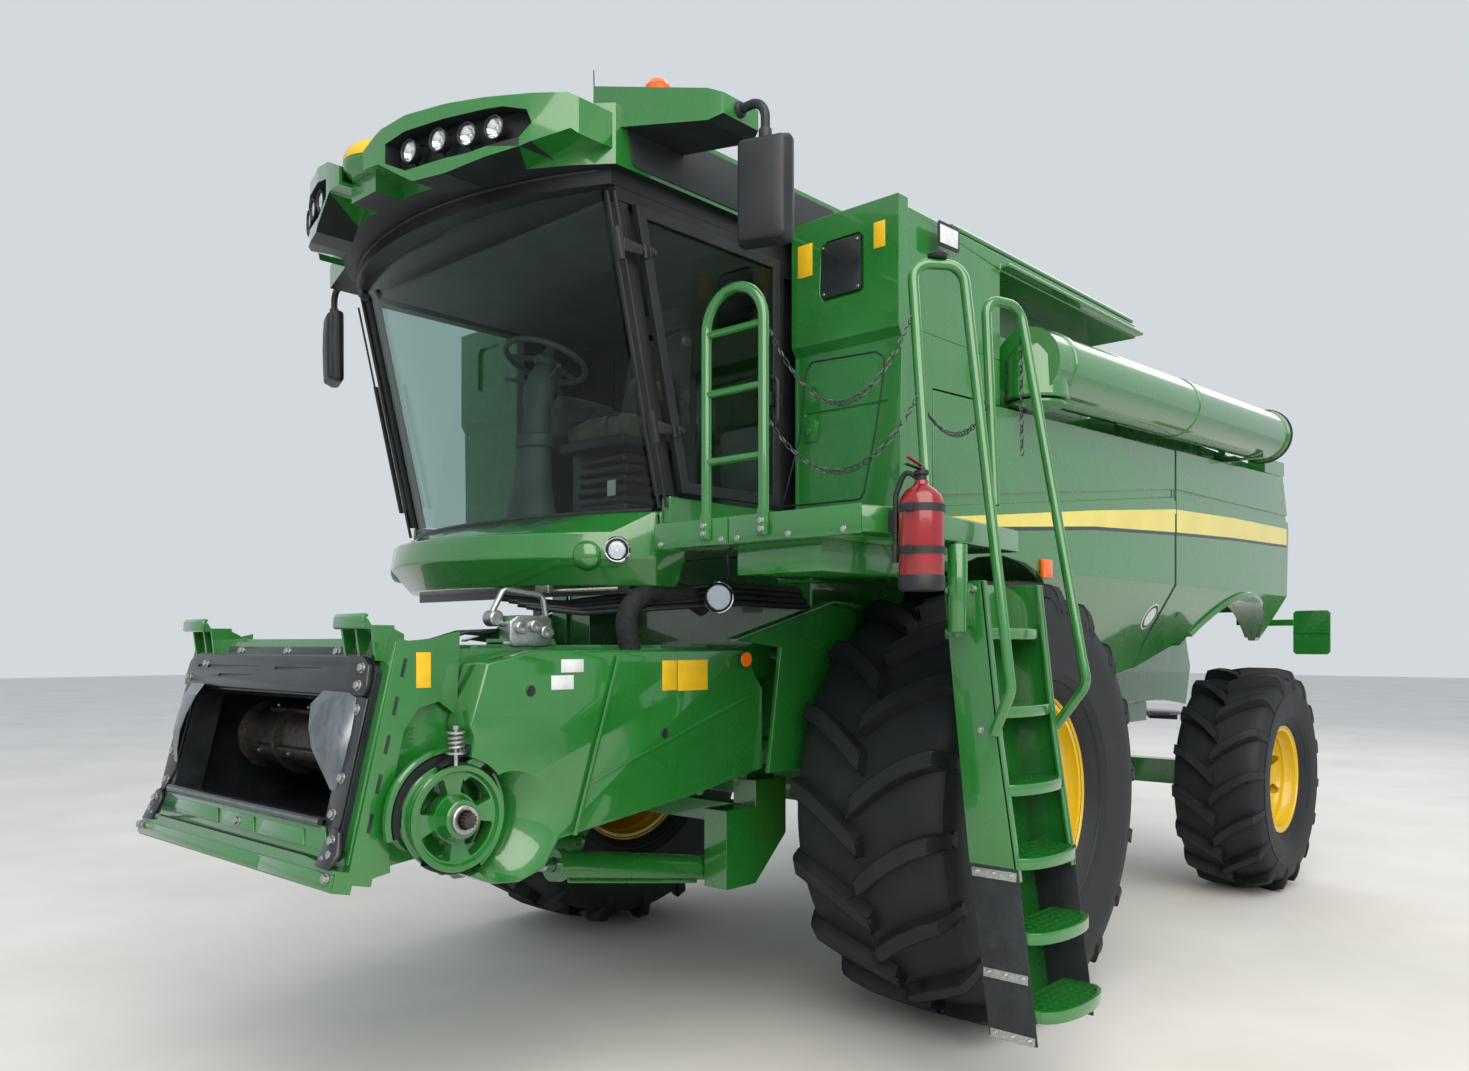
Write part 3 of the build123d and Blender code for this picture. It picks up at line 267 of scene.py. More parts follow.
def tyre_flank(half, radius, flange):
    """Half section of the carcass in mm across and out, from the bead to the middle of the tread."""
    root = radius - 58
    return [(0.66 * half, flange - 27), (0.72 * half, flange - 26), (0.74 * half, flange - 6),
        (0.80 * half, flange + 8), (0.84 * half, flange + 26), (0.885 * half, flange + 46),
        (0.885 * half, flange + 52), (0.91 * half, flange + 58), (0.945 * half, flange + 84),
        (0.96 * half, flange + 92), (0.985 * half, 0.55 * flange + 0.45 * radius),
        (0.995 * half, 0.42 * flange + 0.58 * radius), (0.985 * half, radius - 175),
        (0.965 * half, radius - 150), (0.93 * half, root - 48), (0.88 * half, root - 30),
        (0.78 * half, root - 15), (0.6 * half, root - 6), (0.3 * half, root - 1), (0.0, root)]


def tread_radius(across, half, radius):
    """Height of the lugs' tops over the axle at a distance from the middle of the tread."""
    share = across / half
    return radius - 6 * share ** 2 - 22 * max(share - 0.62, 0) / 0.38 - 118 * max(share - 0.86,
        0) ** 1.5 / 0.14 ** 1.5


def tyre_lug(half, radius, pitch, width):
    """One curved lug under the axle, from beyond the middle of the tread to low on the shoulder."""
    bpy.ops.object.select_all(action="DESELECT")
    bpy.ops.mesh.primitive_cube_add(size=1.0, location=(0.5, 0, 0.5))
    lug = bpy.context.object
    bpy.ops.object.transform_apply()
    long_edge = lambda start, end: abs(start.x - end.x) > 0.5
    top_edge = lambda start, end: min(start.z, end.z) > 0.9 and min(abs(start.y), abs(end.y)) > 0.4
    for wanted, operator, settings in ((long_edge, bpy.ops.mesh.subdivide, dict(number_cuts=15)),
            (top_edge, bpy.ops.mesh.bevel, dict(offset=0.10, segments=2, affect="EDGES"))):
        bpy.ops.object.mode_set(mode="EDIT")
        bpy.ops.mesh.select_all(action="DESELECT")
        bpy.ops.object.mode_set(mode="OBJECT")
        for edge in lug.data.edges:
            edge.select = wanted(*[lug.data.vertices[k].co for k in edge.vertices])
        bpy.ops.object.mode_set(mode="EDIT")
        operator(**settings)
        bpy.ops.object.mode_set(mode="OBJECT")
    root = radius - 58
    for vertex in lug.data.vertices:
        run, side, rise = vertex.co
        left = max(1 - run, 0)
        across = half * (-0.035 + 1.03 * run)
        top = tread_radius(abs(across), half, radius)
        low = min(root - 14, top - 30) - 60 * max(run - 0.85, 0) / 0.15
        height = low + (top - low) * rise
        # the lug sweeps round from a slant at the crown to almost straight across at the shoulder
        sweep = pitch * (0.33 - 0.66 * (1 - left ** 1.55))
        slant = pitch * 0.66 * 1.55 * left ** 0.55 / (1.03 * half)
        flare = width * (1.0 + 0.34 * (1 - rise) + 0.10 * run)
        step = side * flare * hypot(slant, 1.0)
        turn = (sweep + step) / radius
        pull = 0.985 * half if across > 0.985 * half else across
        vertex.co = Vector((pull + 6 * max(run - 0.9, 0), height * sin(turn), -height * cos(turn))) / 1000
    return lug


def dressed_tyre(name, half, radius, flange, lugs, lug_width):
    """The left-hand tyre with its axle through the origin, along x."""
    flank = tyre_flank(half, radius, flange)
    outline = flank + [(-x, r) for x, r in reversed(flank[:-1])] + [flank[0]]
    carcass = turned(name, outline, Vector((0, 0, 0)), (1, 0, 0), steps=108)
    outer = tyre_lug(half, radius, tau * radius / lugs, lug_width)
    inner = copied(outer, "inner_lug", Matrix.Scale(-1, 4, (1, 0, 0)))
    pieces = [carcass]
    for k in range(lugs):
        pieces.append(copied(outer, "lug", Matrix.Rotation(tau * k / lugs, 4, "X")))
        pieces.append(copied(inner, "lug", Matrix.Rotation(tau * (k + 0.5) / lugs, 4, "X")))
    for spare in (outer, inner):
        bpy.data.objects.remove(spare)
    return joined(name, pieces)


wheel_table = (
    # name, wheel's x, y and radius, tyre's half width and bead flange, lugs on a side, width of a lug
    ("front", 1392, 0, 1025, 400, 510, 18, 62),
    ("rear", 1461, 3720, 790, 300, 380, 16, 52))
for end, x, y, radius, half, flange, lugs, lug_width in wheel_table:
    tyre = dressed_tyre(f"tyre_{end}", half, radius, flange, lugs, lug_width)
    tyre.data.transform(Matrix.Translation(at(x, y, radius)))
    twin = copied(tyre, f"tyre_{end}_mirrored", OTHER_SIDE)
    for piece, side in ((tyre, "left"), (twin, "right")):
        finished(piece, tyre_rubber, "tyre", f"wheel_{end}_{side}", crease=28)
        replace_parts(piece, f"tyre_{end}_{side}")


# ---- Rims ----------------------------------------------------------------------------------------
# Wide steel rims with a deep dished disc, rolled and welded, then sprayed glossy yellow. Rounded hand
# holes pierce the rear discs, and a ring of studs holds each disc to the painted hub. Sprayed enamel is
# smooth and wet looking, with a little road dust that dulls and darkens it in patches.
yellow_enamel = made_of("glossy yellow enamel", {"Scale": 6.0, "Detail": 8.0, "Roughness": 0.6},
    ((0.3, "#d9b40f"), (0.6, "#cfa90e"), (0.8, "#b89a20")), {"Coat Weight": 0.4, "Coat Roughness": 0.1},
    gloss={"From Min": 0.3, "From Max": 0.75, "To Min": 0.22, "To Max": 0.45})

# Zinc plate is a soft grey metal with a faint mottle.
zinc_bolt = made_of("zinc plated bolt steel", {"Scale": 90.0, "Detail": 3.0},
    ((0.3, "#9a9c9c"), (0.7, "#c2c4c3")), {"Metallic": 1.0, "Roughness": 0.38})


def bolt_head(name, centre, axis, across, high, washer):
    """Hexagon bolt head, on a washer or bare, standing on a surface at centre."""
    axis = Vector(axis).normalized()
    parts = []
    for sides, radius, depth, lift, chamfer in ((6, across / 1732, high / 1000, high / 2000, 0.0012),
            (16, across / 1400, 0.004, 0.001, 0.0008))[:1 + washer]:
        bpy.ops.object.select_all(action="DESELECT")
        bpy.ops.mesh.primitive_cylinder_add(vertices=sides, radius=radius, depth=depth,
            location=centre + axis * lift, rotation=axis.to_track_quat("Z", "Y").to_euler())
        parts.append(bpy.context.object)
        in_edit_mode((bpy.ops.mesh.bevel, dict(offset=chamfer, segments=1)))
        bpy.ops.object.transform_apply(location=True, rotation=True, scale=True)
    return joined(name, parts)


def bolt_set(name, body, places, across=24, high=15, washer=True):
    """Zinc plated bolts at (point, direction) places, as one piece."""
    heads = [bolt_head(name, point, axis, across, high, washer) for point, axis in places]
    return finished(joined(name, heads), zinc_bolt, "bare_steel", body, 25)


def cut_away(piece, cutter):
    """Takes a cutter's shape out of a piece."""
    cut = piece.modifiers.new("cut", "BOOLEAN")
    cut.operation, cut.object, cut.solver = "DIFFERENCE", cutter, "EXACT"
    bpy.context.view_layer.objects.active = piece
    bpy.ops.object.modifier_apply(modifier="cut")
    bpy.data.objects.remove(cutter)


rim_table = (
    # name, wheel's x, y, radius, half width, flange radius, disc's x, hub's radius and inner x, studs
    ("front", 1392, 0, 1025, 280, 510, 40, 190, 906 - 1392, 12),
    ("rear", 1461, 3720, 790, 210, 380, 70, 100, 1236 - 1461, 10))
for end, x, y, radius, lip, flange, disc_x, hub_r, hub_in, studs in rim_table:
    axle = at(x, y, radius)
    bead, well = flange - 28, flange - 50
    shell = [(-lip - 22, flange - 8), (-lip - 22, flange), (-lip - 12, flange), (-lip - 4, flange - 6),
        (-lip - 2, bead), (-lip + 36, bead - 4), (-lip + 56, well), (lip - 56, well), (lip - 36, bead - 4),
        (lip + 2, bead), (lip + 4, flange - 6), (lip + 12, flange), (lip + 22, flange),
        (lip + 22, flange - 8), (lip + 12, flange - 14), (lip + 9, bead - 7), (lip - 40, bead - 12),
        (lip - 62, well - 7), (-lip + 62, well - 7), (-lip + 40, bead - 12), (-lip - 9, bead - 7),
        (-lip - 12, flange - 14), (-lip - 22, flange - 8)]
    barrel = turned(f"rim_{end}", shell, axle, (1, 0, 0), steps=80)
    dish = [(disc_x + 62, well - 2), (disc_x + 58, well - 24), (disc_x + 34, 0.78 * flange),
        (disc_x + 14, 0.68 * flange), (disc_x + 12, 0.60 * flange), (disc_x + 16, hub_r - 10),
        (disc_x + 4, hub_r - 14), (disc_x, hub_r - 14), (disc_x, 0.62 * flange),
        (disc_x + 20, 0.78 * flange), (disc_x + 44, well - 22), (disc_x + 46, well - 2),
        (disc_x + 62, well - 2)]
    disc = turned("disc", dish, axle, (1, 0, 0), steps=80)
    if end == "rear":
        for k in range(8):
            turn = tau * (k + 0.5) / 8
            bpy.ops.object.select_all(action="DESELECT")
            bpy.ops.mesh.primitive_cylinder_add(vertices=24, radius=0.036, depth=0.16,
                rotation=(0, pi / 2, 0), location=axle + Vector((disc_x + 20, 0.72 * flange * sin(turn),
                0.72 * flange * cos(turn))) / 1000)
            cut_away(disc, bpy.context.object)
    hub_outline = [(hub_in, 0), (hub_in, hub_r), (disc_x + 8, hub_r), (disc_x + 14, hub_r - 6),
        (disc_x + 14, 0.86 * hub_r), (disc_x + 30, 0.80 * hub_r), (disc_x + 40, 0.62 * hub_r),
        (disc_x + 74, 0.58 * hub_r), (disc_x + 80, 0.52 * hub_r), (disc_x + 80, 0)]
    hub = turned("hub", hub_outline, axle, (1, 0, 0), steps=48)
    rim = joined(f"rim_{end}_shell", [barrel, disc, hub])
    twin = copied(rim, f"rim_{end}_shell_mirrored", OTHER_SIDE)
    stud_circle = [(axle + Vector((disc_x + 14, (hub_r + 26) * sin(tau * k / studs),
        (hub_r + 26) * cos(tau * k / studs))) / 1000, (1, 0, 0)) for k in range(studs)]
    for piece, side, sign in ((rim, "left", 1), (twin, "right", -1)):
        finished(piece, yellow_enamel, "yellow_paint", f"wheel_{end}_{side}", crease=32)
        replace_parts(piece, f"rim_{end}_{side}")
        places = [(Vector((MIDDLE + sign * (point.x - MIDDLE), point.y, point.z)), (sign, 0, 0)) for point,
            _ in stud_circle]
        bolt_set(f"wheel_nuts_{end}_{side}", f"wheel_{end}_{side}", places, 32, 26)


# ---- Bodywork ------------------------------------------------------------------------------------
# Pressed and welded steel sheet in a glossy mid green enamel, sprayed and stoved. The clear wet-looking
# coat mirrors the sky at a low angle, folded edges are softly rounded, and dust lies on it in faint
# clouds.
def edged(radius, *nodes):
    """Rounds the edges of CAD nodes, in mm, and smooths their shading between them."""
    for name in nodes:
        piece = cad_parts[name]
        weld = piece.modifiers.new("weld", "WELD")
        weld.merge_threshold = 0.0002
        rounding = piece.modifiers.new("rounded_edges", "BEVEL")
        rounding.width, rounding.segments = radius / 1000, 2
        rounding.limit_method, rounding.angle_limit = "ANGLE", radians(28)
        even = piece.modifiers.new("flat_faces", "WEIGHTED_NORMAL")
        even.weight = 50
        piece.data.polygons.foreach_set("use_smooth", [True] * len(piece.data.polygons))


def dress(finish, *nodes):
    """Gives CAD nodes a finish."""
    for name in nodes:
        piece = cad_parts[name]
        piece.data.materials.clear()
        piece.data.materials.append(finish)


# A faint orange-peel ripple, 5 mm across, breaks the highlights, and dust dulls the gloss in patches.
green_enamel = made_of("glossy green enamel", {"Scale": 2.4, "Detail": 9.0, "Roughness": 0.68},
    ((0.3, "#1b6623"), (0.6, "#1f7028"), (0.8, "#2a7631")), {"Coat Weight": 1.0, "Coat Roughness": 0.05,
    "Coat IOR": 1.58}, gloss={"From Min": 0.3, "From Max": 0.75, "To Min": 0.2, "To Max": 0.36},
    relief=(0.012, 0.001), grain=("TexNoise", {"Scale": 190.0, "Detail": 1.5}))
dress(green_enamel, "chassis_frame", "rear_axle", "knuckle_left", "knuckle_right", "separator_body",
    "grain_tank", "tank_lid_left", "tank_lid_right", "front_bulkhead", "engine_deck", "rear_hood",
    "side_panel_front_left", "side_panel_front_right", "side_panel_rear_left", "side_panel_rear_right",
    "auger_supports", "cab_base", "cab_roof", "feeder_house", "feeder_frame", "straw_chopper")
edged(4, "chassis_frame", "separator_body", "front_bulkhead", "engine_deck", "feeder_house",
    "straw_chopper")
edged(6, "grain_tank", "tank_lid_left", "tank_lid_right")
edged(3, "rear_hood", "rear_axle", "auger_supports", "knuckle_left", "knuckle_right")
edged(5, "side_panel_front_left", "side_panel_front_right", "side_panel_rear_left", "side_panel_rear_right")
edged(9, "cab_base")

# Moulded with a fine leather grain, about 2 mm, that scatters the light to a dull satin.
# The same black also stands as painted shade under the cab roof's overhang.
black_plastic = made_of("grained black ABS", {"Scale": 7.0, "Detail": 6.0},
    ((0.3, "#14171a"), (0.7, "#22262a")), {"Roughness": 0.45, "Specular IOR Level": 0.45},
    relief=(0.12, 0.001), grain=("TexVoronoi", {"Scale": 420.0}))
dress(black_plastic, "cab_frame", "cab_door")
edged(3, "cab_frame", "cab_door", "engine_block", "cooling_screen")

bare_steel, tree, place = blank_material("worn rolled steel")
# Mill steel polished by use: a grey metal with long faint streaks and duller, browner patches.
drawn = add(tree, "Mapping", {"Scale": (2.0, 60.0, 60.0)}, Vector=place)
streak = add(tree, "TexNoise", {"Scale": 3.0, "Detail": 5.0}, Vector=drawn.outputs[0])
gloss = add(tree, "MapRange", {"To Min": 0.28, "To Max": 0.55}, Value=streak.outputs["Fac"])
surface(tree, {"Metallic": 1.0}, Roughness=gloss.outputs[0], Base_Color=tones(tree, streak.outputs["Fac"],
    (0.3, "#565452"), (0.55, "#777674"), (0.8, "#8f8f8d")))
dress(bare_steel, "tie_rod", "spreader_disc_left", "spreader_disc_right")

chrome, tree, place = blank_material("hard chromed steel")
# Ground and chromed: an almost clean mirror with hair-fine rings from the grinding.
ring = add(tree, "TexNoise", {"Scale": 300.0, "Detail": 1.0}, Vector=place)
gloss = add(tree, "MapRange", {"To Min": 0.06, "To Max": 0.16}, Value=ring.outputs["Fac"])
surface(tree, {"Metallic": 1.0, "Base Color": linear("#d3d7da")}, Roughness=gloss.outputs[0])

tinted_glass, tree, place = blank_material("toughened tinted glass")
# Grey-green safety glass. It lets the cab show through, and only its skin catches the sky.
film = add(tree, "TexNoise", {"Scale": 4.0, "Detail": 4.0}, Vector=place)
gloss = add(tree, "MapRange", {"To Min": 0.0, "To Max": 0.03}, Value=film.outputs["Fac"])
skin = add(tree, "BsdfGlossy", {"Color": linear("#ffffff")}, Roughness=gloss.outputs[0])
clear = add(tree, "BsdfTransparent", {"Color": linear("#e1ebe8")})
facing = add(tree, "LayerWeight", {"Blend": 0.5})
steep = add(tree, "Math", {"operation": "POWER", 1: 5.0}, _0=facing.outputs["Facing"])
edge = add(tree, "MapRange", {"To Min": 0.014, "To Max": 0.4}, Value=steep.outputs[0])
pane = add(tree, "MixShader", _0=edge.outputs[0], _1=clear.outputs[0], _2=skin.outputs[0])
add(tree, "OutputMaterial", Surface=pane.outputs[0])
dress(tinted_glass, "fixed_glass", "windshield", "door_glass")


# ---- Cab roof ------------------------------------------------------------------------------------
# A moulded green shell with a lamp pod in each half of its visor. The pods' wells and the grille along
# the flank are black. The faces under the overhang and round the visor's lower rim are painted black as
# painted shade, and the bowed front is one smooth curve.
def painted(node, finish, keep):
    """Gives a second finish to the faces of a CAD node for which keep(centre, normal) holds."""
    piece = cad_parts[node]
    piece.data.materials.append(finish)
    index = len(piece.data.materials) - 1
    for polygon in piece.data.polygons:
        if keep(polygon.center, polygon.normal):
            polygon.material_index = index


edged(7, "cab_roof")


def visor_y(x, half=980, side=-2130, nose=-2500):
    """How far forward the visor's face lies at a distance from the middle."""
    rise = side - nose
    radius = (half ** 2 + rise ** 2) / (2 * rise)
    return nose + radius * (1 - cos(asin(min(abs(x), half) / radius)))


def in_well(centre, normal):
    """Whether a face of the roof lies in a pod's well."""
    x, y, z = (centre.x - MIDDLE) * 1000, centre.y * 1000 + 975, centre.z * 1000
    depth = y - visor_y(x)
    return 230 < abs(x) < 848 and 3556 < z < 3740 and 3 < depth < 100


painted("cab_roof", black_plastic, in_well)
# Faces under the overhang and round the visor's lower rim are painted black: painted shade.
painted("cab_roof", black_plastic, lambda centre, normal: normal.z < -0.8 and centre.z < 3.57)
painted("cab_roof", black_plastic, lambda centre, normal: abs(centre.x - MIDDLE) < 1.0 and centre.y > -3.18
    and centre.z < 3.562)
painted("cab_roof", black_plastic, lambda centre, normal: abs(centre.x - MIDDLE) > 1.0 and normal.z < -0.3
    and centre.z > 3.6)

mesh_grille, tree, place = blank_material("perforated black steel")
# Punched sheet: rows of dark round holes 9 mm apart in satin black.
holes = add(tree, "TexVoronoi", {"Scale": 110.0, "Randomness": 0.0}, Vector=place)
dot = add(tree, "Math", {"operation": "LESS_THAN"}, _0=holes.outputs["Distance"])
dot.inputs[1].default_value = 0.32
relief = add(tree, "Bump", {"Strength": 0.5, "Distance": 0.003, "invert": True}, Height=dot.outputs[0])
surface(tree, {"Roughness": 0.5}, Normal=relief.outputs["Normal"], Base_Color=tones(tree, dot.outputs[0],
    (0.0, "#23282b"), (1.0, "#060708")))


def slab(name, outline, depth, rounding=0.0, segments=2):
    """Plate from its outline's points in the scene, given a depth vector in mm and rounded edges in mm."""
    piece = raw_piece(name, outline, faces=[range(len(outline))])
    in_edit_mode((bpy.ops.mesh.extrude_region_move, dict(TRANSFORM_OT_translate=dict(value=Vector(depth)
        / 1000))), (bpy.ops.mesh.select_all, dict(action="SELECT")),
        (bpy.ops.mesh.normals_make_consistent, dict(inside=False)))
    if rounding:
        rounded(piece, rounding, segments)
    return piece


def rounded(piece, width, segments=2, angle=28):
    """Rounds a piece's edges, in mm."""
    bevel = piece.modifiers.new("rounded_edges", "BEVEL")
    bevel.width, bevel.segments, bevel.angle_limit = width / 1000, segments, radians(angle)
    bevel.limit_method = "ANGLE"
    bpy.context.view_layer.objects.active = piece
    bpy.ops.object.modifier_apply(modifier="rounded_edges")
    return piece


def both_sides(piece, name):
    """The piece and its twin on the machine's right, as one."""
    return joined(name, [piece, copied(piece, "twin", OTHER_SIDE)])


def side_on(x, *corners):
    """Outline's points at one distance from the middle, from its (y, z) corners."""
    return [at(x, y, z) for y, z in corners]


def front_on(y, *corners):
    """Outline's points at one distance behind the front axle, from its (x, z) corners."""
    return [at(x, y, z) for x, z in corners]


def plan(z, *corners):
    """Outline's points at one height, from its (x, y) corners."""
    return [at(x, y, z) for x, y in corners]


def oblong(left, right, low, high):
    """Four corners between two limits across and two limits up."""
    return (left, low), (right, low), (right, high), (left, high)


grille_outline = side_on(990, (-1880, 3585), (-1900, 3700), (-1840, 3768), (-640, 3768), (-560, 3740),
    (-540, 3600), (-580, 3575), (-1860, 3575))
grille = slab("roof_side_grilles", grille_outline, (6, 0, 0), 2)
finished(both_sides(grille, "roof_side_grilles"), mesh_grille, "black_plastic")
lip_points = [at(x, visor_y(x, 930, -1950, -2190) - 6, 3556) for x in range(-900, 901, 100)]


def tube(name, points, radius, bend=0.0, sides=12):
    """Round bar in mm along straight runs between points in the scene, its corners bent to a radius."""
    curve = bpy.data.curves.new(name, "CURVE")
    curve.dimensions, curve.bevel_depth, curve.bevel_resolution = "3D", radius / 1000, max(sides // 4, 1)
    curve.use_fill_caps, curve.resolution_u = True, 10
    knots = [(points[0], None, None)]
    for before, corner, after in zip(points, points[1:], points[2:]):
        come, leave = (corner - before), (after - corner)
        angle = come.angle(leave)
        reach = min(bend / 1000 * sin(angle / 2) / max(cos(angle / 2), 0.05), come.length * 0.49,
            leave.length * 0.49)
        if reach < 1e-5:
            knots.append((corner, None, None))
            continue
        grip = reach * 0.552 if angle > 0.8 else reach * 0.62
        start, end = corner - come.normalized() * reach, corner + leave.normalized() * reach
        knots += [(start, None, start + come.normalized() * grip), (end, end - leave.normalized() * grip,
            None)]
    knots.append((points[-1], None, None))
    spline = curve.splines.new("BEZIER")
    spline.bezier_points.add(len(knots) - 1)
    for knot, (spot, before, after) in zip(spline.bezier_points, knots):
        knot.co = spot
        knot.handle_left_type = knot.handle_right_type = "FREE"
        knot.handle_left, knot.handle_right = before or spot, after or spot
    piece = bpy.data.objects.new(name, curve)
    bpy.context.collection.objects.link(piece)
    alone(piece)
    bpy.ops.object.convert(target="MESH")
    piece = bpy.context.object
    in_edit_mode((bpy.ops.mesh.remove_doubles, dict(threshold=0.0001)),
        (bpy.ops.mesh.normals_make_consistent, dict(inside=False)))
    return piece


seal = tube("visor_seal", lip_points, 9, 60, 8)
finished(seal, black_plastic, "black_plastic")


# ---- Roof lamps, beacon and receiver dome --------------------------------------------------------
# Round work lamps with a polished reflector behind clear glass in a black bezel, a ribbed amber beacon
# on the wing, and a moulded receiver dome, yellow over green, that sits in the notch of the visor.
lamp_glass, tree, place = blank_material("clear lamp glass")
# Thick pressed glass: clear, with a soft pattern of flutes 12 mm apart.
flutes = add(tree, "TexWave", {"Scale": 26.0}, Vector=place)
relief = add(tree, "Bump", {"Strength": 0.2, "Distance": 0.001}, Height=flutes.outputs["Fac"])
skin = add(tree, "BsdfGlossy", {"Roughness": 0.03}, Normal=relief.outputs["Normal"])
clear = add(tree, "BsdfTransparent", {"Color": linear("#f2f6f6")})
facing = add(tree, "LayerWeight", {"Blend": 0.25})
pane = add(tree, "MixShader", _0=facing.outputs["Facing"], _1=clear.outputs[0], _2=skin.outputs[0])
add(tree, "OutputMaterial", Surface=pane.outputs[0])

reflector, tree, place = blank_material("vacuum metallised reflector")
# Metallised plastic: a bright mirror with soft facets that break up what it shows.
facet = add(tree, "TexVoronoi", {"Scale": 60.0}, Vector=place)
relief = add(tree, "Bump", {"Strength": 0.35, "Distance": 0.004}, Height=facet.outputs["Distance"])
surface(tree, {"Metallic": 1.0, "Base Color": linear("#e8ebec"), "Roughness": 0.12},
    Normal=relief.outputs["Normal"])

# Moulded amber acrylic, deep orange and glossy, lit a little from within by the sky.
amber_lens = made_of("amber acrylic", {"Scale": 12.0, "Detail": 2.0}, ((0.3, "#e2570a"), (0.7, "#f37a14")),
    {"Roughness": 0.12, "Coat Weight": 0.6, "Subsurface Weight": 0.25, "Subsurface Scale": 0.02})


def work_lamp(name, centre, aim, radius, body):
    """Bezel, reflector with its bulb, and glass of one round lamp."""
    aim = Vector(aim).normalized()
    bezel = turned(name + "_bezel", [(-40, 0), (-40, radius - 12), (-10, radius - 1), (4, radius - 1),
        (6, radius - 4), (2, radius - 7), (-6, radius - 8)], centre, aim, 32)
    bowl = turned(name + "_reflector", [(-6, radius - 8), (-16, 0.66 * radius), (-28, 0.36 * radius),
        (-30, 10), (-14, 9), (-9, 0)], centre, aim, 32)
    glass = turned(name + "_glass", [(-4, radius - 8), (0, 0.7 * radius), (2, 0.35 * radius), (3, 0)],
        centre, aim, 32)
    finished(bezel, black_plastic, "black_plastic", body)
    finished(bowl, reflector, "lamp_lens", body, crease=50)
    finished(glass, lamp_glass, "lamp_lens", body, crease=60)
    return bezel


lamps = []
for x, y, z in ((350, -2452, 3640), (490, -2415, 3652), (613, -2370, 3650), (715, -2322, 3660)):
    for sign, side in ((1, "left"), (-1, "right")):
        lamps.append(work_lamp(f"pod_lamp_{side}_{x}", at(sign * x, y + 8, z),
            (sign * x * 0.45, -1000, -60), 45, "chassis"))
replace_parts(lamps[0], "roof_lamps")

beacon_foot = at(1050, -1800, 3815.5)
base = turned("beacon_base", [(0, 0), (0, 62), (16, 61), (20, 57), (26, 56), (26, 0)], beacon_foot,
    (0, 0, 1), 32)
finished(base, black_plastic, "black_plastic")
bulb = turned("beacon_lens", [(26, 0), (26, 52), (34, 54), (38, 50), (46, 52), (50, 48), (58, 50), (62, 46),
    (70, 48), (76, 43), (88, 36), (96, 24), (100, 10), (101, 0)], beacon_foot, (0, 0, 1), 40)
finished(bulb, amber_lens, "lamp_lens", crease=40)

dome_foot = at(0, -2360, 3640.5)
shell = turned("receiver_dome_top", [(62, 0), (62, 150), (72, 151), (88, 148), (112, 136), (134, 112),
    (150, 76), (158, 36), (159.5, 0)], dome_foot, (0, 0, 1), 64)
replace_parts(finished(shell, yellow_enamel, "yellow_paint"), "receiver_dome")
tray = turned("receiver_dome_base", [(0, 0), (0, 112), (14, 130), (34, 146), (50, 151), (58, 151),
    (61, 146), (61, 0)], dome_foot, (0, 0, 1), 64)
finished(tray, green_enamel, "green_paint")

for name, foot, high in (("antenna_left", at(800, -1900, 3760), 240),
        ("antenna_right", at(-620, -2000, 3770), 220)):
    rod = turned(name, [(0, 0), (0, 14), (18, 11), (24, 3.0), (high - 6, 2.2), (high, 0)], foot,
        (0, -0.03, 1), 10)
    finished(rod, black_plastic, "black_plastic")


# ---- Mirrors -------------------------------------------------------------------------------------
# Tall black mirror heads, moulded with rounded corners and a bulged back, each hung on a bent steel
# tube from the roof's wing. Silvered glass fills the rear face.
mirror_glass, tree, place = blank_material("silvered mirror glass")
# Flat float glass, silvered behind: a clean mirror with a film of dust.
film = add(tree, "TexNoise", {"Scale": 9.0, "Detail": 5.0}, Vector=place)
gloss = add(tree, "MapRange", {"To Min": 0.01, "To Max": 0.10}, Value=film.outputs["Fac"])
surface(tree, {"Metallic": 1.0, "Base Color": linear("#cfd6d8")}, Roughness=gloss.outputs[0])


def turned_by(piece, centre, angle, axis="X"):
    """Turns a piece about an axis through a centre, in degrees."""
    piece.data.transform(Matrix.Translation(centre) @ Matrix.Rotation(radians(angle), 4, axis)
        @ Matrix.Translation(-centre))
    return piece


MIRROR_MID = at(1555, -1760, 3362)
bpy.ops.object.select_all(action="DESELECT")
bpy.ops.mesh.primitive_cube_add(size=1.0, location=MIRROR_MID)
head = bpy.context.object
head.scale = (0.205, 0.085, 0.383)
bpy.ops.object.transform_apply()
in_edit_mode((bpy.ops.mesh.subdivide, dict(number_cuts=3)))
for vertex in head.data.vertices:
    off = vertex.co - MIRROR_MID
    if off.y < 0:
        # the back bulges forward and narrows towards its edges
        vertex.co.y -= 0.012 * (1 - (off.x / 0.1025) ** 2) * (1 - (off.z / 0.1915) ** 2)
        vertex.co.x -= off.x * 0.10
        vertex.co.z -= off.z * 0.05
head = rounded(head, 34, 5, 60)
heads = both_sides(turned_by(head, MIRROR_MID, 20, "Z"), "mirror_heads")
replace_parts(finished(heads, black_plastic, "black_plastic", crease=50), "mirrors")
pane = slab("mirror_panes", front_on(-1718.5, *oblong(1480, 1630, 3200, 3525)), (0, 2.5, 0), 1)
finished(both_sides(turned_by(pane, MIRROR_MID, 20, "Z"), "mirror_panes"), mirror_glass, "glass")
arm = tube("mirror_arms", front_on(-1755, (1418, 3690), (1555, 3690), (1555, 3400)), 17, 70, 16)
collar = turned("mirror_collar", [(-26, 0), (-26, 24), (20, 24), (26, 20), (26, 0)], at(1555, -1755, 3558),
    (0, 0, 1), 24)
root = turned("mirror_root", [(-2, 0), (-2, 30), (12, 28), (20, 22), (20, 0)], at(1428, -1755, 3690),
    (1, 0, 0), 24)
finished(both_sides(joined("mirror_arms", [arm, collar, root]), "mirror_arms"), black_plastic,
    "black_plastic")


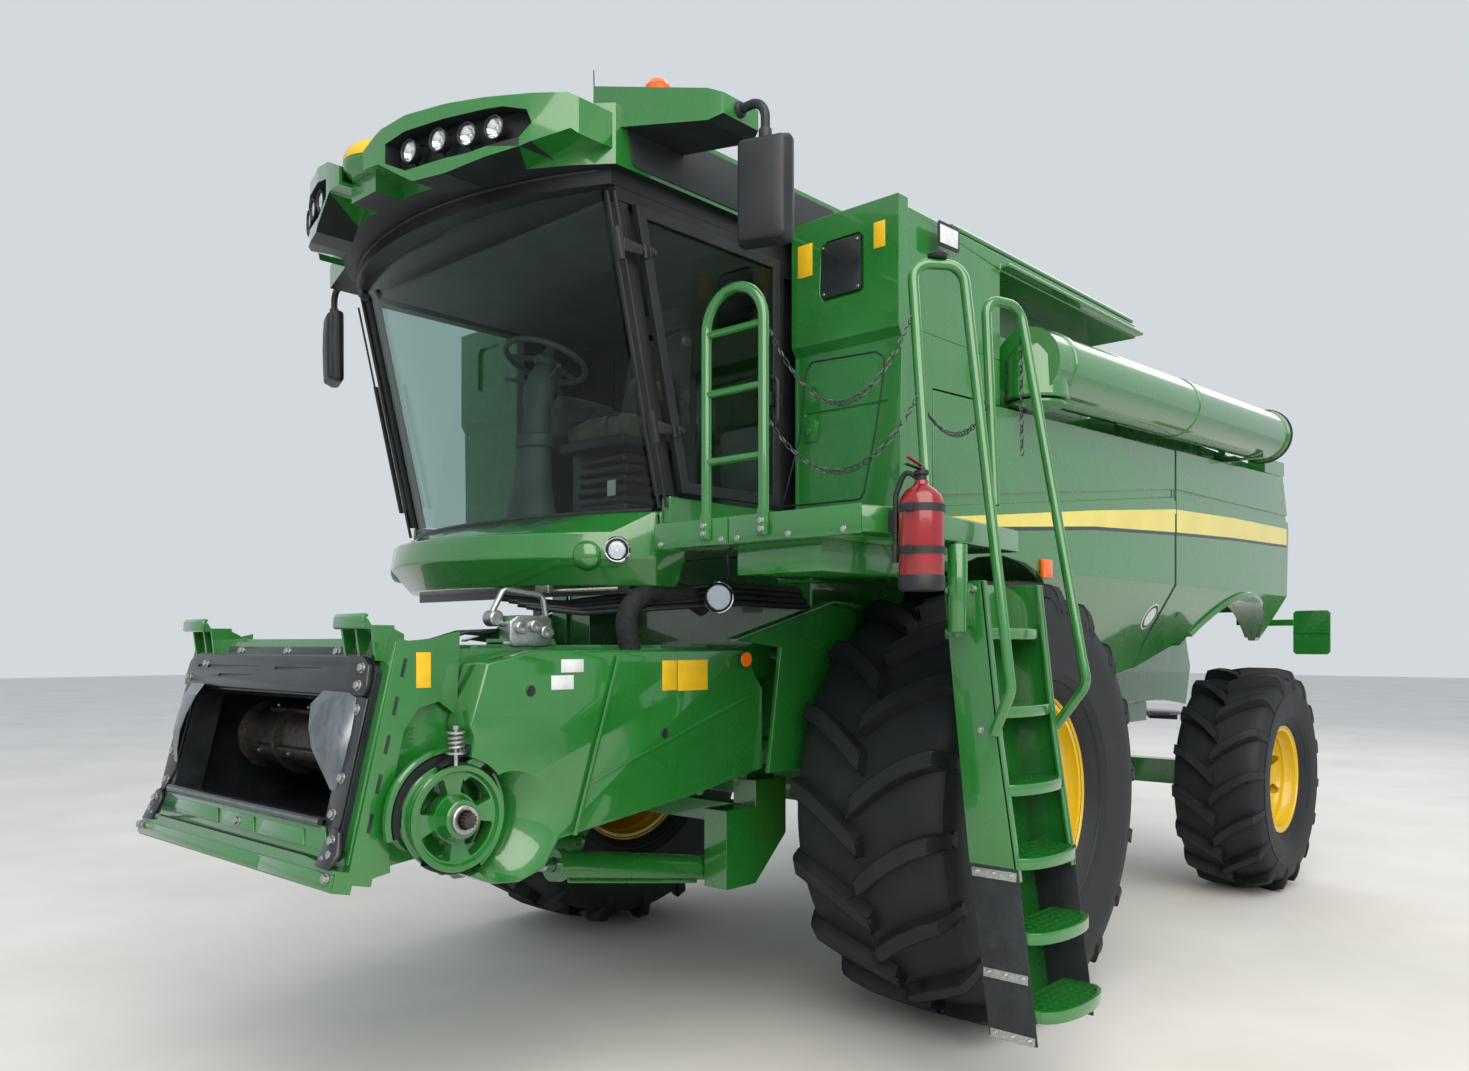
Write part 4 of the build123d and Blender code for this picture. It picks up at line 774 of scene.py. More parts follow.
# ---- Platform ------------------------------------------------------------------------------------
# The cab's platform: a folded green sheet with a raised front edge in two lengths, bolted on cross
# members, with a rail of bent tube whose flattened feet are bolted to the edge. Chequered aluminium
# covers its top.
DECK_TOP = 2216
deck_outline = ((985, -1750), (1970, -1750), (2050, -1580), (2000, -1170), (1950, -645), (1700, -720),
    (1575, -800), (1575, -950), (985, -950))
pan = slab("platform_pan", plan(2126, *deck_outline), (0, 0, DECK_TOP - 2126), 7, 3)
beam = slab("platform_beam", plan(2010, *oblong(1350, 1750, -1680, -900)), (0, 0, 118), 6)
foot = slab("platform_bracket", front_on(-1000, (972.5, 2020), (972.5, 2130), (1400, 2130), (1400, 2060),
    (1340, 2020)), (0, 100, 0), 3)
pin = turned("platform_pin", [(0, 0), (0, 13), (4, 17), (346, 17), (346, 0)], at(2000, -1200, 1780),
    (0, 0, 1), 24)
platform = finished(joined("platform", [pan, beam, foot, pin]), green_enamel, "green_paint")
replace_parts(platform, "deck")

chequer, tree, place = blank_material("chequered aluminium plate")
# Rolled five-bar chequer, bars 25 mm long, on bright aluminium dulled by boots.
weave = add(tree, "TexBrick", {"Scale": 18.0, "Mortar Size": 0.25, "Color1": linear("#ffffff"),
    "Color2": linear("#cccccc"), "Mortar": linear("#000000")}, Vector=place)
relief = add(tree, "Bump", {"Strength": 0.6, "Distance": 0.002}, Height=weave.outputs["Color"])
scuff = add(tree, "TexNoise", {"Scale": 14.0, "Detail": 6.0}, Vector=place)
surface(tree, {"Metallic": 0.9, "Roughness": 0.42}, Normal=relief.outputs["Normal"],
    Base_Color=tones(tree, scuff.outputs["Fac"], (0.3, "#8b8f90"), (0.7, "#b4b8b8")))
cover = [(1000, -1735), (1960, -1735), (2034, -1578), (1986, -1172), (1937, -664), (1706, -736),
    (1588, -812), (1588, -963), (1000, -963)]
finished(slab("platform_tread_plate", plan(DECK_TOP - 1, *cover), (0, 0, 3.5)), chequer, "bare_steel")

# the front edge is folded in two lengths that meet over the beam
edges = [slab("platform_edge", front_on(-1750, *oblong(x0, x1, 2122, 2222)), (0, -6, 0), 2.5) for x0,
    x1 in ((985, 1372), (1378, 1972))]
finished(joined("platform_edges", edges), green_enamel, "green_paint")

LEFT, RIGHT, RAIL_TOP, RAIL_Y = 1268, 1549, 3050, -1758
hoop = tube("platform_rail", front_on(RAIL_Y, (LEFT, 2150), (LEFT, RAIL_TOP), (RIGHT, RAIL_TOP),
    (RIGHT, 2150)), 20, 138, 16)
rungs = [tube("rung", [at(LEFT, RAIL_Y, z), at(RIGHT, RAIL_Y, z)], 14, 0, 12) for z in (2430, 2680, 2900)]
pads = [slab("rail_foot", front_on(RAIL_Y + 2, (x - 26, 2142), (x + 26, 2142), (x + 26, 2206),
    (x + 14, 2262), (x - 14, 2262), (x - 26, 2206)), (0, -16, 0), 5) for x in (LEFT, RIGHT)]
finished(joined("platform_rail", [hoop, *rungs, *pads]), green_enamel, "green_paint")
bolt_set("rail_bolts", "chassis", [(at(x, RAIL_Y - 14, z), (0, -1, 0)) for x in (LEFT, RIGHT)
    for z in (2164, 2194)], 20, 11)
bolt_set("platform_edge_bolts", "chassis", [(at(x, -1756, 2140), (0, -1, 0))
    for x in (1020, 1340, 1420, 1660, 1900)], 17, 9)


# ---- Ladder --------------------------------------------------------------------------------------
# Two broad folded stringers with a riser plate between them carry two plain and four grated half-round
# steps. The lowest third is black rubber, clamped with bolted strips, so that it can bend. Two bent
# tubes are rails.
STRINGER = ((1890, 1990), (2060, 1990), (2127, 1410), (2196, 960), (2275, 330), (2085, 330), (1997, 990))
FRONT_Y, BACK_Y = -1120, -660
FLEX_Z = 900


def along_edge(edge, z):
    """x at height z on an edge given as (x, z) corners from top to bottom."""
    for (x0, z0), (x1, z1) in zip(edge, edge[1:]):
        if z1 <= z <= z0:
            return x0 + (x1 - x0) * (z0 - z) / (z0 - z1)
    return edge[-1][0]


OUTER_EDGE, INNER_EDGE = STRINGER[1:5], ((1890, 1990), (1997, 990), (2085, 330))
steel_side = [(1890, 1990), (2060, 1990), (2127, 1410), (2196, 960),
    (along_edge(OUTER_EDGE, FLEX_Z), FLEX_Z), (along_edge(INNER_EDGE, FLEX_Z), FLEX_Z), (1997, 990)]
flex_side = [(along_edge(INNER_EDGE, FLEX_Z + 50), FLEX_Z + 50), (along_edge(OUTER_EDGE, FLEX_Z + 50),
    FLEX_Z + 50), (2275, 330), (2085, 330)]
sides, flaps, clamps, clamp_bolts = [], [], [], []
for y, out in ((FRONT_Y, -1), (BACK_Y, 1)):
    sides.append(slab("stringer", front_on(y, *steel_side), (0, -12 * out, 0), 2.5))
    lip = [(x - 3, z) for x, z in OUTER_EDGE[:3]] + [(along_edge(OUTER_EDGE, FLEX_Z) - 3, FLEX_Z)]
    lip += [(x - 12, z) for x, z in reversed(lip)]
    sides.append(slab("stringer_lip", front_on(y, *lip), (0, -34 * out, 0), 3))
    flaps.append(slab("rubber_side", front_on(y + out, *flex_side), (0, -9 * out, 0), 3))
    for z in (920, 560, 345):
        x0, x1 = along_edge(INNER_EDGE, z) + 8, along_edge(OUTER_EDGE, z) - 6
        strip = front_on(y + out, *oblong(x0, x1, z - 17, z + 17))
        clamps.append(slab("clamp_strip", strip, (0, 4 * out, 0), 1.5))
        clamp_bolts += [(at(x0 + (x1 - x0) * share, y + 5 * out, z), (0, out, 0))
            for share in (0.12, 0.5, 0.88)]
riser = [(1890, 1990), (1905, 1990), (2012, 990), (2100, 330), (2085, 330), (1997, 990)]
back_plate = slab("riser_plate", front_on(FRONT_Y + 6, *riser), (0, BACK_Y - FRONT_Y - 12, 0), 2)

tread_table = (
    # height of the top, x of the outer edge, whether it is a grating
    (1815, 2080, False), (1525, 2130, False), (1245, 2185, True), (985, 2240, True), (725, 2290, True),
    (455, 2340, True))
middle_y = (FRONT_Y + BACK_Y) / 2
treads = []
for z, x, grated in tread_table:
    nose = [(x - 190, FRONT_Y + 8), (x - 52, FRONT_Y + 8)]
    nose += [(x - 52 + 72 * sin(pi * k / 12), middle_y - 214 * cos(pi * k / 12)) for k in range(1, 12)]
    nose += [(x - 52, BACK_Y - 8), (x - 190, BACK_Y - 8)]
    if not grated:
        treads.append(slab("plain_step", plan(z - 42, *nose), (0, 0, 42), 6, 3))
        continue
    frame_ring = slab("step_frame", plan(z - 42, *nose), (0, 0, 42), 3)
    hollow = [(px - (14 if px > x - 180 else -14), middle_y + (py - middle_y) * 0.93) for px, py in nose]
    cutter = slab("cutter", plan(z - 60, *hollow), (0, 0, 90))
    cut_away(frame_ring, cutter)
    treads.append(frame_ring)
    for step in range(1, 5):
        px = x - 190 + 34 * step + 10
        reach = 214 if px < x - 52 else 214 * max(1 - ((px - x + 52) / 72) ** 2, 0) ** 0.5
        treads.append(slab("grating_bar", plan(z - 30, *oblong(px - 3, px + 3, middle_y - reach + 4,
            middle_y + reach - 4)), (0, 0, 27)))
    for step in range(-4, 5):
        py = middle_y + 46 * step
        reach = x - 52 + 72 * (1 - (46 * step / 214) ** 2) ** 0.5 - 6
        treads.append(slab("grating_tooth", plan(z - 26, *oblong(x - 186, reach, py - 3, py + 3)),
            (0, 0, 25)))
hinge = turned("ladder_hinge", [(0, 17.5), (0, 34), (3, 36), (315, 36), (318, 34), (318, 17.5), (0, 17.5)],
    at(2000, -1200, 1800), (0, 0, 1), 32)
tab = slab("hinge_plate", front_on(-1175, *oblong(1985, 2015, 1820, 1980)), (0, 60, 0), 3)
rails = [tube("hand_rail", [at(*point) for point in points], 20, 70, 16)
    for points in (((2110, -1132, 1430), (2185, -1145, 1590), (1990, -1145, 3150), (1870, -1300, 3150),
    (2010, -1420, 2300)), ((2110, -648, 1430), (2238, -645, 1600), (1954, -645, 3120), (1904, -830, 3120),
    (1945, -830, 2300)))]
ladder = finished(joined("ladder_steel", [*sides, back_plate, *treads, hinge, tab, *rails]), green_enamel,
    "green_paint", "ladder_swing")
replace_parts(ladder, "ladder")
# Cut from thick black sheet: dull, with a faint cloth print and grey scuffs.
sheet_rubber = made_of("vulcanised rubber sheet", {"Scale": 16.0, "Detail": 8.0, "Roughness": 0.7},
    ((0.35, "#161a1d"), (0.7, "#2a3035")), {"Roughness": 0.68}, relief=(0.2, 0.001),
    grain=("TexNoise", {"Scale": 400.0, "Detail": 1.0}))
finished(joined("ladder_rubber_sides", flaps), sheet_rubber, "black_plastic", "ladder_swing")
finished(joined("ladder_clamp_strips", clamps), zinc_bolt, "bare_steel", "ladder_swing")
bolt_set("ladder_clamp_bolts", "ladder_swing", clamp_bolts, 16, 9)
bolt_set("ladder_bolts", "ladder_swing", [(at(x, FRONT_Y - 1, z), (0, -1, 0)) for x,
    z in ((1915, 1958), (2020, 1958), (2100, 1440), (2050, 1440))], 19, 11)
knob = turned("rail_knob", [(-4, 0), (-4, 24), (0, 34), (12, 38), (20, 30), (26, 26), (30, 0)],
    at(1930, -1222, 3172), (0, 0, 1), 24)
finished(knob, black_plastic, "black_plastic", "ladder_swing")


# ---- Fire extinguisher ---------------------------------------------------------------------------
# A pressed steel bottle sprayed glossy red, with a valve, squeeze handle and hose on top, held by two
# black straps and standing in a black cup. Its label area is left plain. Red powder coat, even and
# shiny, slightly darker where dust has settled.
red_enamel = made_of("glossy red enamel", {"Scale": 14.0, "Detail": 5.0},
    ((0.35, "#8c1219"), (0.7, "#760f15")), {"Roughness": 0.22, "Coat Weight": 0.5, "Coat Roughness": 0.05})
BOTTLE_X, BOTTLE_Y = 2130, -1640
bottle_foot = at(BOTTLE_X, BOTTLE_Y, 1930)
bottle = turned("extinguisher_bottle", [(28, 0), (28, 70), (36, 74), (280, 74), (306, 68), (328, 52),
    (342, 32), (350, 24), (360, 22), (360, 0)], bottle_foot, (0, 0, 1), 48)
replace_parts(finished(bottle, red_enamel, "red_paint"), "extinguisher")
cup = turned("extinguisher_cup", [(0, 0), (0, 70), (6, 75), (46, 77), (50, 75), (50, 0)], bottle_foot,
    (0, 0, 1), 48)
straps = [turned("extinguisher_strap", [(z, 74), (z, 77), (z + 24, 77), (z + 24, 74), (z, 74)], bottle_foot,
    (0, 0, 1), 48) for z in (118, 256)]
buckles = [slab("buckle", front_on(BOTTLE_Y - 74, *oblong(BOTTLE_X - 16, BOTTLE_X + 20, 1930 + z,
    1958 + z)), (0, -11, 0), 3) for z in (116, 254)]
holder = slab("extinguisher_bracket", front_on(-1660, *oblong(1985, 2062, 2130, 2200)), (0, 40, 0), 4)
horn = tube("extinguisher_hose", [at(2118, -1640, 2298), at(2075, -1650, 2330), at(2046, -1664, 2250),
    at(2048, -1668, 2075)], 9, 45, 12)
nozzle = turned("nozzle", [(0, 0), (0, 11), (50, 14), (60, 10), (60, 0)], at(2048, -1668, 2025), (0, 0, 1),
    20)
valve = turned("valve", [(356, 0), (356, 17), (376, 17), (380, 24), (392, 24), (396, 15), (404, 12),
    (404, 0)], bottle_foot, (0, 0, 1), 24)
grip = slab("lever", [at(BOTTLE_X - 10, -1655, 2326), at(BOTTLE_X - 8, -1730, 2332),
    at(BOTTLE_X + 8, -1730, 2332), at(BOTTLE_X + 10, -1655, 2326)], (0, 0, 5), 2)
squeeze = slab("squeeze_lever", [at(BOTTLE_X - 9, -1640, 2336), at(BOTTLE_X - 7, -1722, 2356),
    at(BOTTLE_X + 7, -1722, 2356), at(BOTTLE_X + 9, -1640, 2336)], (0, 0, 5), 2)
finished(joined("extinguisher_fittings", [cup, *straps, *buckles, holder, horn, nozzle, valve, grip]),
    black_plastic, "black_plastic")
finished(squeeze, red_enamel, "red_paint")


# ---- Feeder mouth --------------------------------------------------------------------------------
# The feeder house's front frame is a welded green box. A moulded black liner and two bent wear cheeks
# of polished steel funnel the crop into the mouth, and a rolled steel lip guards the floor. Bolts hold
# them on.
def on_face(x, v, out):
    """Point on the frame's leaning face, mm left of the middle, up the face and in front of it."""
    return at(x, -2950 + 0.2338 * v - 0.9723 * out, 985 + 0.9723 * v + 0.2338 * out)


def over_face(out, *corners):
    """Outline's points at one distance in front of the frame's face, from its (x, distance up) corners."""
    return [on_face(x, v, out) for x, v in corners]


FACE_FRONT = Vector((0, -0.9723, 0.2338))
FACE_UP = Vector((0, 0.2338, 0.9723))


def face_place(point):
    """x, distance up the face and distance in front of it, of a point in the scene."""
    off = point - on_face(0, 0, 0)
    return off.x * 1000, off.dot(FACE_UP) * 1000, off.dot(FACE_FRONT) * 1000


def liner_and_shaded_mouth_face(centre, normal):
    """Whether a face of the frame belongs to the black liner, or to the mouth's inner walls, whose black is
    painted shade.
    """
    x, v, out = face_place(centre)
    proud = abs(x) < 762 and 58 < v < 752 and out > 1
    mouth = abs(x) < 642 and 188 < v < 602
    return proud or (mouth and out < 1)


# Thick black paint over plate: glossy, with scuffed grey patches where crop has rubbed it.
# The same black is painted shade in the feeder's mouth and tunnel, the side plate slots, under the side
# stripes, in the bulkhead window and in the gap under the cab's nose.
black_enamel_and_painted_shade = made_of("glossy black enamel and painted shade", {"Scale": 7.0, "Detail": 9.0, "Roughness": 0.7},
    ((0.35, "#15191c"), (0.6, "#22282c"), (0.78, "#3a4145")), {"Coat Weight": 0.3},
    gloss={"To Min": 0.2, "To Max": 0.5})

polished_wear, tree, place = blank_material("crop polished steel")
# Wear plate burnished by straw: bright streaks along the flow over dark grey steel.
flow = add(tree, "Mapping", {"Scale": (9.0, 9.0, 2.0)}, Vector=place)
streak = add(tree, "TexNoise", {"Scale": 2.2, "Detail": 7.0, "Roughness": 0.6}, Vector=flow.outputs[0])
gloss = add(tree, "MapRange", {"To Min": 0.12, "To Max": 0.28}, Value=streak.outputs["Fac"])
surface(tree, {"Metallic": 0.95}, Roughness=gloss.outputs[0], Base_Color=tones(tree, streak.outputs["Fac"],
    (0.3, "#6a7175"), (0.7, "#8d9498")))

# The liner is black, and the mouth's inner walls are painted black as painted shade.
painted("feeder_frame", black_enamel_and_painted_shade, liner_and_shaded_mouth_face)


def shaded_tunnel_face(centre, normal):
    """Whether a face lines the feeder house's tunnel, whose black is painted shade."""
    across = centre.x - MIDDLE
    side = abs(across) < 0.7895 and normal.x * across < -0.001
    return side or (normal.z > 0.5 and centre.z < 1.3) or (normal.z < -0.5 and centre.z > 1.6)


# The tunnel's walls, floor and roof are painted black: painted shade inside the feeder house.
painted("feeder_house", black_enamel_and_painted_shade, shaded_tunnel_face)
edged(4, "feeder_frame")

CHEEK = ((652, 250), (742, 130), (752, 200), (752, 600), (700, 612), (652, 606))
HOOD = ((-735, 606), (735, 606), (748, 640), (735, 712), (690, 742), (-690, 742), (-735, 712), (-748, 640))
liner_table = (
    # outline in (x, distance up), height of its back over the face, thickness
    (HOOD, 23, 22), (CHEEK, 23, 10), ([(-x, v) for x, v in CHEEK], 23, 10),
    (((-470, 738), (560, 738), (560, 782), (-470, 782)), 0, 8))
liner = [slab("liner", over_face(back, *outline), FACE_FRONT * thick, 6, 3) for outline, back,
    thick in liner_table]
for x0, x1, v in ((-640, -60, 690), (-420, -120, 655), (60, 420, 690)):
    groove = slab("groove_cutter", over_face(38, *oblong(x0, x1, v - 6, v + 6)), FACE_FRONT * 20, 3)
    cut_away(liner[0], groove)
finished(joined("feeder_liner", liner), black_enamel_and_painted_shade, "black_paint", "feeder")

cheeks = []
CHEEK_ROWS = (
    # distance up the face, then x and height off the face: outer edge, outer fold, free edge
    (614, (690, 25), (640, 52), (500, 58)),
    (560, (700, 25), (646, 66), (486, 86)),
    (480, (704, 25), (650, 72), (520, 92)),
    (410, (700, 25), (660, 70), (560, 84)),
    (340, (694, 25), (664, 52), (612, 56)),
    (286, (684, 25), (668, 32), (644, 30)))
for sign in (1, -1):
    points = [on_face(sign * x, row[0], out) for row in CHEEK_ROWS for x, out in row[1:]]
    faces = []
    for k in range(len(CHEEK_ROWS) - 1):
        for j in range(2):
            quad = (3 * k + j, 3 * k + j + 1, 3 * k + j + 4, 3 * k + j + 3)
            faces.append(quad if sign < 0 else quad[::-1])
    cheek = raw_piece("wear_cheek", points, faces=faces)
    wall = cheek.modifiers.new("plate", "SOLIDIFY")
    wall.thickness, wall.offset = 0.005, 0.0
    bpy.context.view_layer.objects.active = cheek
    bpy.ops.object.modifier_apply(modifier="plate")
    cheeks.append(rounded(cheek, 5, 3, 12))
finished(joined("feeder_wear_cheeks", cheeks), polished_wear, "bare_steel", "feeder", crease=16)

lip = tube("feeder_lip", [on_face(-642, 178, 34), on_face(642, 178, 34)], 17, 0, 20)
plate = slab("lip_plate", [on_face(-642, 168, 6), on_face(642, 168, 6), on_face(642, 168, 34),
    on_face(-642, 168, 34)], FACE_UP * 20, 2)
finished(joined("feeder_lip", [lip, plate]), polished_wear, "bare_steel", "feeder")

BOLT_SPOTS = [(-700, 640), (-560, 700), (700, 700), (700, 640), (705, 560), (-705, 560), (706, 330),
    (-706, 330), (700, 210), (-700, 210)]
bolt_set("liner_bolts", "feeder", [(on_face(x, v, 33 if v < 605 else 44), FACE_FRONT) for x,
    v in BOLT_SPOTS] + [(on_face(x, 762, 8), FACE_FRONT) for x in (-340, 60, 440)], 26, 13)

beam_parts = [slab("beam_rail", over_face(44, *oblong(x0, x1, -24, 26)), FACE_FRONT * 12, 4) for x0,
    x1 in ((-818, 300), (304, 818))]
for sign in (1, -1):
    beam_parts.append(slab("corner_rib", [on_face(sign * 812, 60, 0), on_face(sign * 812, 800, 0),
        on_face(sign * 800, 800, 0), on_face(sign * 800, 60, 0)], FACE_FRONT * 8, 3))
beam_parts.append(slab("sill", over_face(23, (-690, 66), (690, 66), (700, 100), (662, 166), (-662, 166),
    (-700, 100)), FACE_FRONT * 9, 4))
for x0, x1 in ((-560, -130), (-100, 180), (210, 560)):
    beam_parts.append(slab("sill_patch", over_face(31, (x0, 92), (x1, 92), (x1 - 25, 146), (x0 + 25, 146)),
        FACE_FRONT * 7, 3))
top_cover = slab("top_cover", [on_face(-560, 784, -2), on_face(520, 784, -2), on_face(505, 812, -60),
    on_face(-545, 812, -60)], FACE_UP * 6, 3)
beam_parts.append(top_cover)
finished(joined("feeder_beam_trim", beam_parts), green_enamel, "green_paint", "feeder")
brackets = []
for sign in (1, -1):
    outline = [(700, 40), (790, 36), (796, 90), (770, 160), (728, 172), (700, 130)]
    brackets.append(slab("beam_bracket", [on_face(sign * x, v, 24 if v > 60 else 46) for x, v in outline],
        FACE_FRONT * 16, 5))
finished(joined("feeder_beam_brackets", brackets), black_enamel_and_painted_shade, "black_paint", "feeder")
bolt_set("beam_bolts", "feeder", [(on_face(sign * x, v, 42 if v > 60 else 58), FACE_FRONT)
    for sign in (1, -1) for x, v in ((725, 62), (760, 84), (748, 128), (790, 10))]
    + [(on_face(40, 118, 38), FACE_FRONT)], 26, 14)

# a row of pressed slots along the front edge of each side plate, drawn as thin black strips that are
# painted shade in the slots
slots = []
for sign in (1, -1):
    for v in (170, 300, 430, 560, 690):
        slots.append(slab("plate_slot", [on_face(sign * 820.6, v, -42), on_face(sign * 820.6, v, -30),
            on_face(sign * 820.6, v + 62, -30), on_face(sign * 820.6, v + 62, -42)], (sign * 1.2, 0, 0), 0))
finished(joined("side_plate_slot_shade", slots), black_enamel_and_painted_shade, "black_paint", "feeder")

# bent steel catches on top carry the header's beam
saddle_parts = []
for x0 in (-750, 540):
    outline = [(-2843, 1806), (-2852, 1812), (-2849, 1848), (-2838, 1860), (-2824, 1854), (-2834, 1842),
        (-2836, 1806)]
    saddle_parts.append(slab("saddle", side_on(x0, *outline), (195, 0, 0), 2))
finished(joined("header_catches", saddle_parts), green_enamel, "green_paint", "feeder")


# ---- Feed drum -----------------------------------------------------------------------------------
# The front drum that carries the feeder chain: a rolled tube with bolted ring flanges and four slats,
# its skin worn brown-grey by straw.
DRUM = at(0, -2560, 1370)
drum_skin = turned("feed_drum_tube", [(-630, 0), (-630, 104), (-626, 108), (-566, 108), (-560, 146),
    (-548, 146), (-544, 118), (-246, 118), (-242, 146), (-228, 146), (-224, 118), (216, 118), (220, 146),
    (234, 146), (238, 118), (536, 118), (540, 146), (554, 146), (558, 108), (626, 108), (630, 104),
    (630, 0)], DRUM, (1, 0, 0), 72)

slats = [turned_by(slab("drum_slat", [DRUM + Vector((x, y, 0.117)) for x,
    y in ((-0.43, -0.022), (0.40, -0.022), (0.40, 0.022), (-0.43, 0.022))], (0, 0, 22), 5, 3), DRUM,
    90 * k + 20) for k in range(4)]
# Mild steel dulled by straw and dust: brown-grey, satin, with a fine rubbed grain round the drum.
drum_steel = made_of("straw worn mild steel", {"Scale": 40.0, "Detail": 6.0, "Roughness": 0.7},
    ((0.35, "#413d39"), (0.7, "#66605a")), {"Metallic": 0.85}, gloss={"To Min": 0.3, "To Max": 0.55})
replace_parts(finished(joined("feed_drum", [drum_skin, *slats]), drum_steel, "bare_steel", "drum"),
    "feeder_drum")
ring_bolts = []
for x in (-554, -235, 227, 547):
    for k in range(10):
        turn = tau * k / 10
        ring_bolts.append((DRUM + Vector((x / 1000 - 0.008, 0.132 * sin(turn), 0.132 * cos(turn))),
            (-1, 0, 0)))
for k in range(4):
    turn = Matrix.Rotation(radians(90 * k + 20), 3, "X")
    ring_bolts += [(DRUM + turn @ Vector((x, 0, 0.139)), turn @ Vector((0, 0, 1)))
        for x in (-0.38, -0.12, 0.12, 0.35)]
bolt_set("drum_bolts", "drum", ring_bolts, 15, 8, washer=False)


# ---- Header drive --------------------------------------------------------------------------------
# A cast green pulley with four windows turns a short splined shaft. A black belt wraps its rim inside a
# rolled guard ring, and a coil spring on a threaded rod keeps the idler tight.
DRIVE = at(0, -2612, 1172)
pulley = turned("drive_pulley", [(880, 40), (880, 150), (884, 160), (876, 176), (882, 180), (888, 176),
    (892, 164), (930, 164), (934, 176), (940, 180), (946, 176), (944, 160), (930, 152), (922, 80),
    (944, 70), (968, 66), (972, 62), (972, 34), (948, 34), (948, 30)], DRIVE, (1, 0, 0), 72)
for k in range(4):
    points = []
    for radius, turns in ((145, range(0, 9)), (84, range(8, -1, -1))):
        for step in turns:
            turn = radians(90 * k + 40 + 58 * (step / 8 - 0.5))
            points.append(DRIVE + Vector((860, radius * sin(turn), radius * cos(turn))) / 1000)
    window = slab("window", points, (120, 0, 0), 8)
    cut_away(pulley, window)
back = turned("pulley_back", [(791, 30), (791, 62), (800, 62), (804, 150), (812, 150), (820, 62), (884, 62),
    (884, 30), (791, 30)], DRIVE, (1, 0, 0), 48)
ring = turned("belt_guard", [(842, 186), (842, 226), (848, 230), (872, 232), (880, 226), (880, 216),
    (850, 214), (850, 186), (842, 186)], DRIVE, (1, 0, 0), 72, radians(250))
turned_by(ring, DRIVE, 150)
drive = finished(joined("header_drive_pulley", [pulley, back, ring]), green_enamel, "green_paint", "feeder")
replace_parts(drive, "header_drive")
belt = turned("drive_belt", [(892, 166), (892, 184), (896, 188), (924, 188), (928, 184), (928, 166),
    (892, 166)], DRIVE, (1, 0, 0), 72, radians(236))
turned_by(belt, DRIVE, 62)
run = slab("belt_run", [DRIVE + Vector((892, -60, 178)) / 1000, DRIVE + Vector((892, 92, 262)) / 1000,
    DRIVE + Vector((892, 100, 248)) / 1000, DRIVE + Vector((892, -52, 162)) / 1000], (36, 0, 0), 2)
wide_belt = turned("wide_belt", [(850, 184), (850, 210), (880, 210), (880, 184), (850, 184)], DRIVE,
    (1, 0, 0), 72, radians(250))
turned_by(wide_belt, DRIVE, 150)
finished(joined("drive_belt", [belt, run, wide_belt]), tyre_rubber, "black_plastic", "feeder")
bore_ring = turned("shaft_seal", [(970, 32), (984, 32), (986, 36), (986, 46), (982, 50), (970, 50),
    (970, 32)], DRIVE, (1, 0, 0), 40)
teeth = []
for k in range(48):
    wide = 27 if k % 4 < 2 else 22
    turn = tau * k / 48
    teeth.append((wide * sin(turn), wide * cos(turn)))
shaft = slab("splined_shaft", [DRIVE + Vector((940, y, z)) / 1000 for y, z in teeth], (70, 0, 0), 0)
finished(bore_ring, zinc_bolt, "bare_steel", "feeder")
finished(shaft, drum_steel, "bare_steel", "feeder", crease=20)

SPRING = at(950, -2630, 1400)
coil = [SPRING + Vector((0.024 * cos(tau * k / 12), 0.024 * sin(tau * k / 12), 0.0013 * k))
    for k in range(43)]
spring_wire = tube("idler_spring", coil, 5.5, 12, 8)
rod = turned("idler_rod", [(-50, 0), (-50, 8), (70, 8), (72, 13), (84, 13), (86, 0)], SPRING, (0, 0, 1), 16)
caps = [turned("spring_cap", [(z, 0), (z, 33), (z + 7, 33), (z + 7, 0)], SPRING, (0, 0, 1), 24)
    for z in (-10, 58)]
finished(joined("idler_spring", [spring_wire, rod, *caps]), zinc_bolt, "bare_steel", "feeder")
idler = slab("idler_arm", side_on(905, (-2600, 1330), (-2480, 1420), (-2430, 1400), (-2470, 1360),
    (-2580, 1290)), (22, 0, 0), 5)
finished(idler, green_enamel, "green_paint", "feeder")


# ---- Drive shield and coupler --------------------------------------------------------------------
# One large pressed cover over the feeder's drives, with a scoop that curls round the pulley. On top
# stands the hydraulic coupler: a cast zinc-plated block with a long U-shaped locking handle.
plugs = [turned("shield_plug", [(0, 0), (0, 17), (3, 20), (6, 17), (4, 9), (4, 0)], at(940, y, z),
    (1, 0, 0), 24) for y, z in ((-2316, 1590), (-1660, 1400))]
finished(joined("shield_plugs", plugs), black_plastic, "black_plastic", "feeder")
crease_points = side_on(941, (-1130, 1545), (-1420, 1452), (-2060, 1240), (-2075, 1226), (-1420, 1436),
    (-1120, 1528))
SHIELD = ((-2500, 1690), (-2568, 1473), (-2550, 1440), (-2566, 1347), (-2573, 975), (-2470, 928),
    (-2362, 918), (-2250, 952), (-2185, 1046), (-1467, 1138), (-1060, 1210), (-1060, 1560), (-1190, 1733),
    (-2300, 1733))
shield = slab("drive_shield_cover", side_on(790.5, *SHIELD), (149.5, 0, 0), 10, 3)
well = turned("pulley_well", [(-60, 0), (-60, 207), (200, 207), (200, 0)], at(790, -2612, 1172), (1, 0, 0),
    64)


def lofted(name, points, around, foot=True):
    """Skin over rings of points that follow each other, closed at its head and, if wanted, at its foot."""
    faces = [(row + k, row + (k + 1) % around, row + around + (k + 1) % around, row + around + k)
        for row in range(0, len(points) - around, around) for k in range(around)]
    faces += [range(len(points) - around, len(points))] + [range(around)] * foot
    piece = raw_piece(name, points, faces=faces)
    in_edit_mode((bpy.ops.mesh.normals_make_consistent, dict(inside=False)))
    return piece


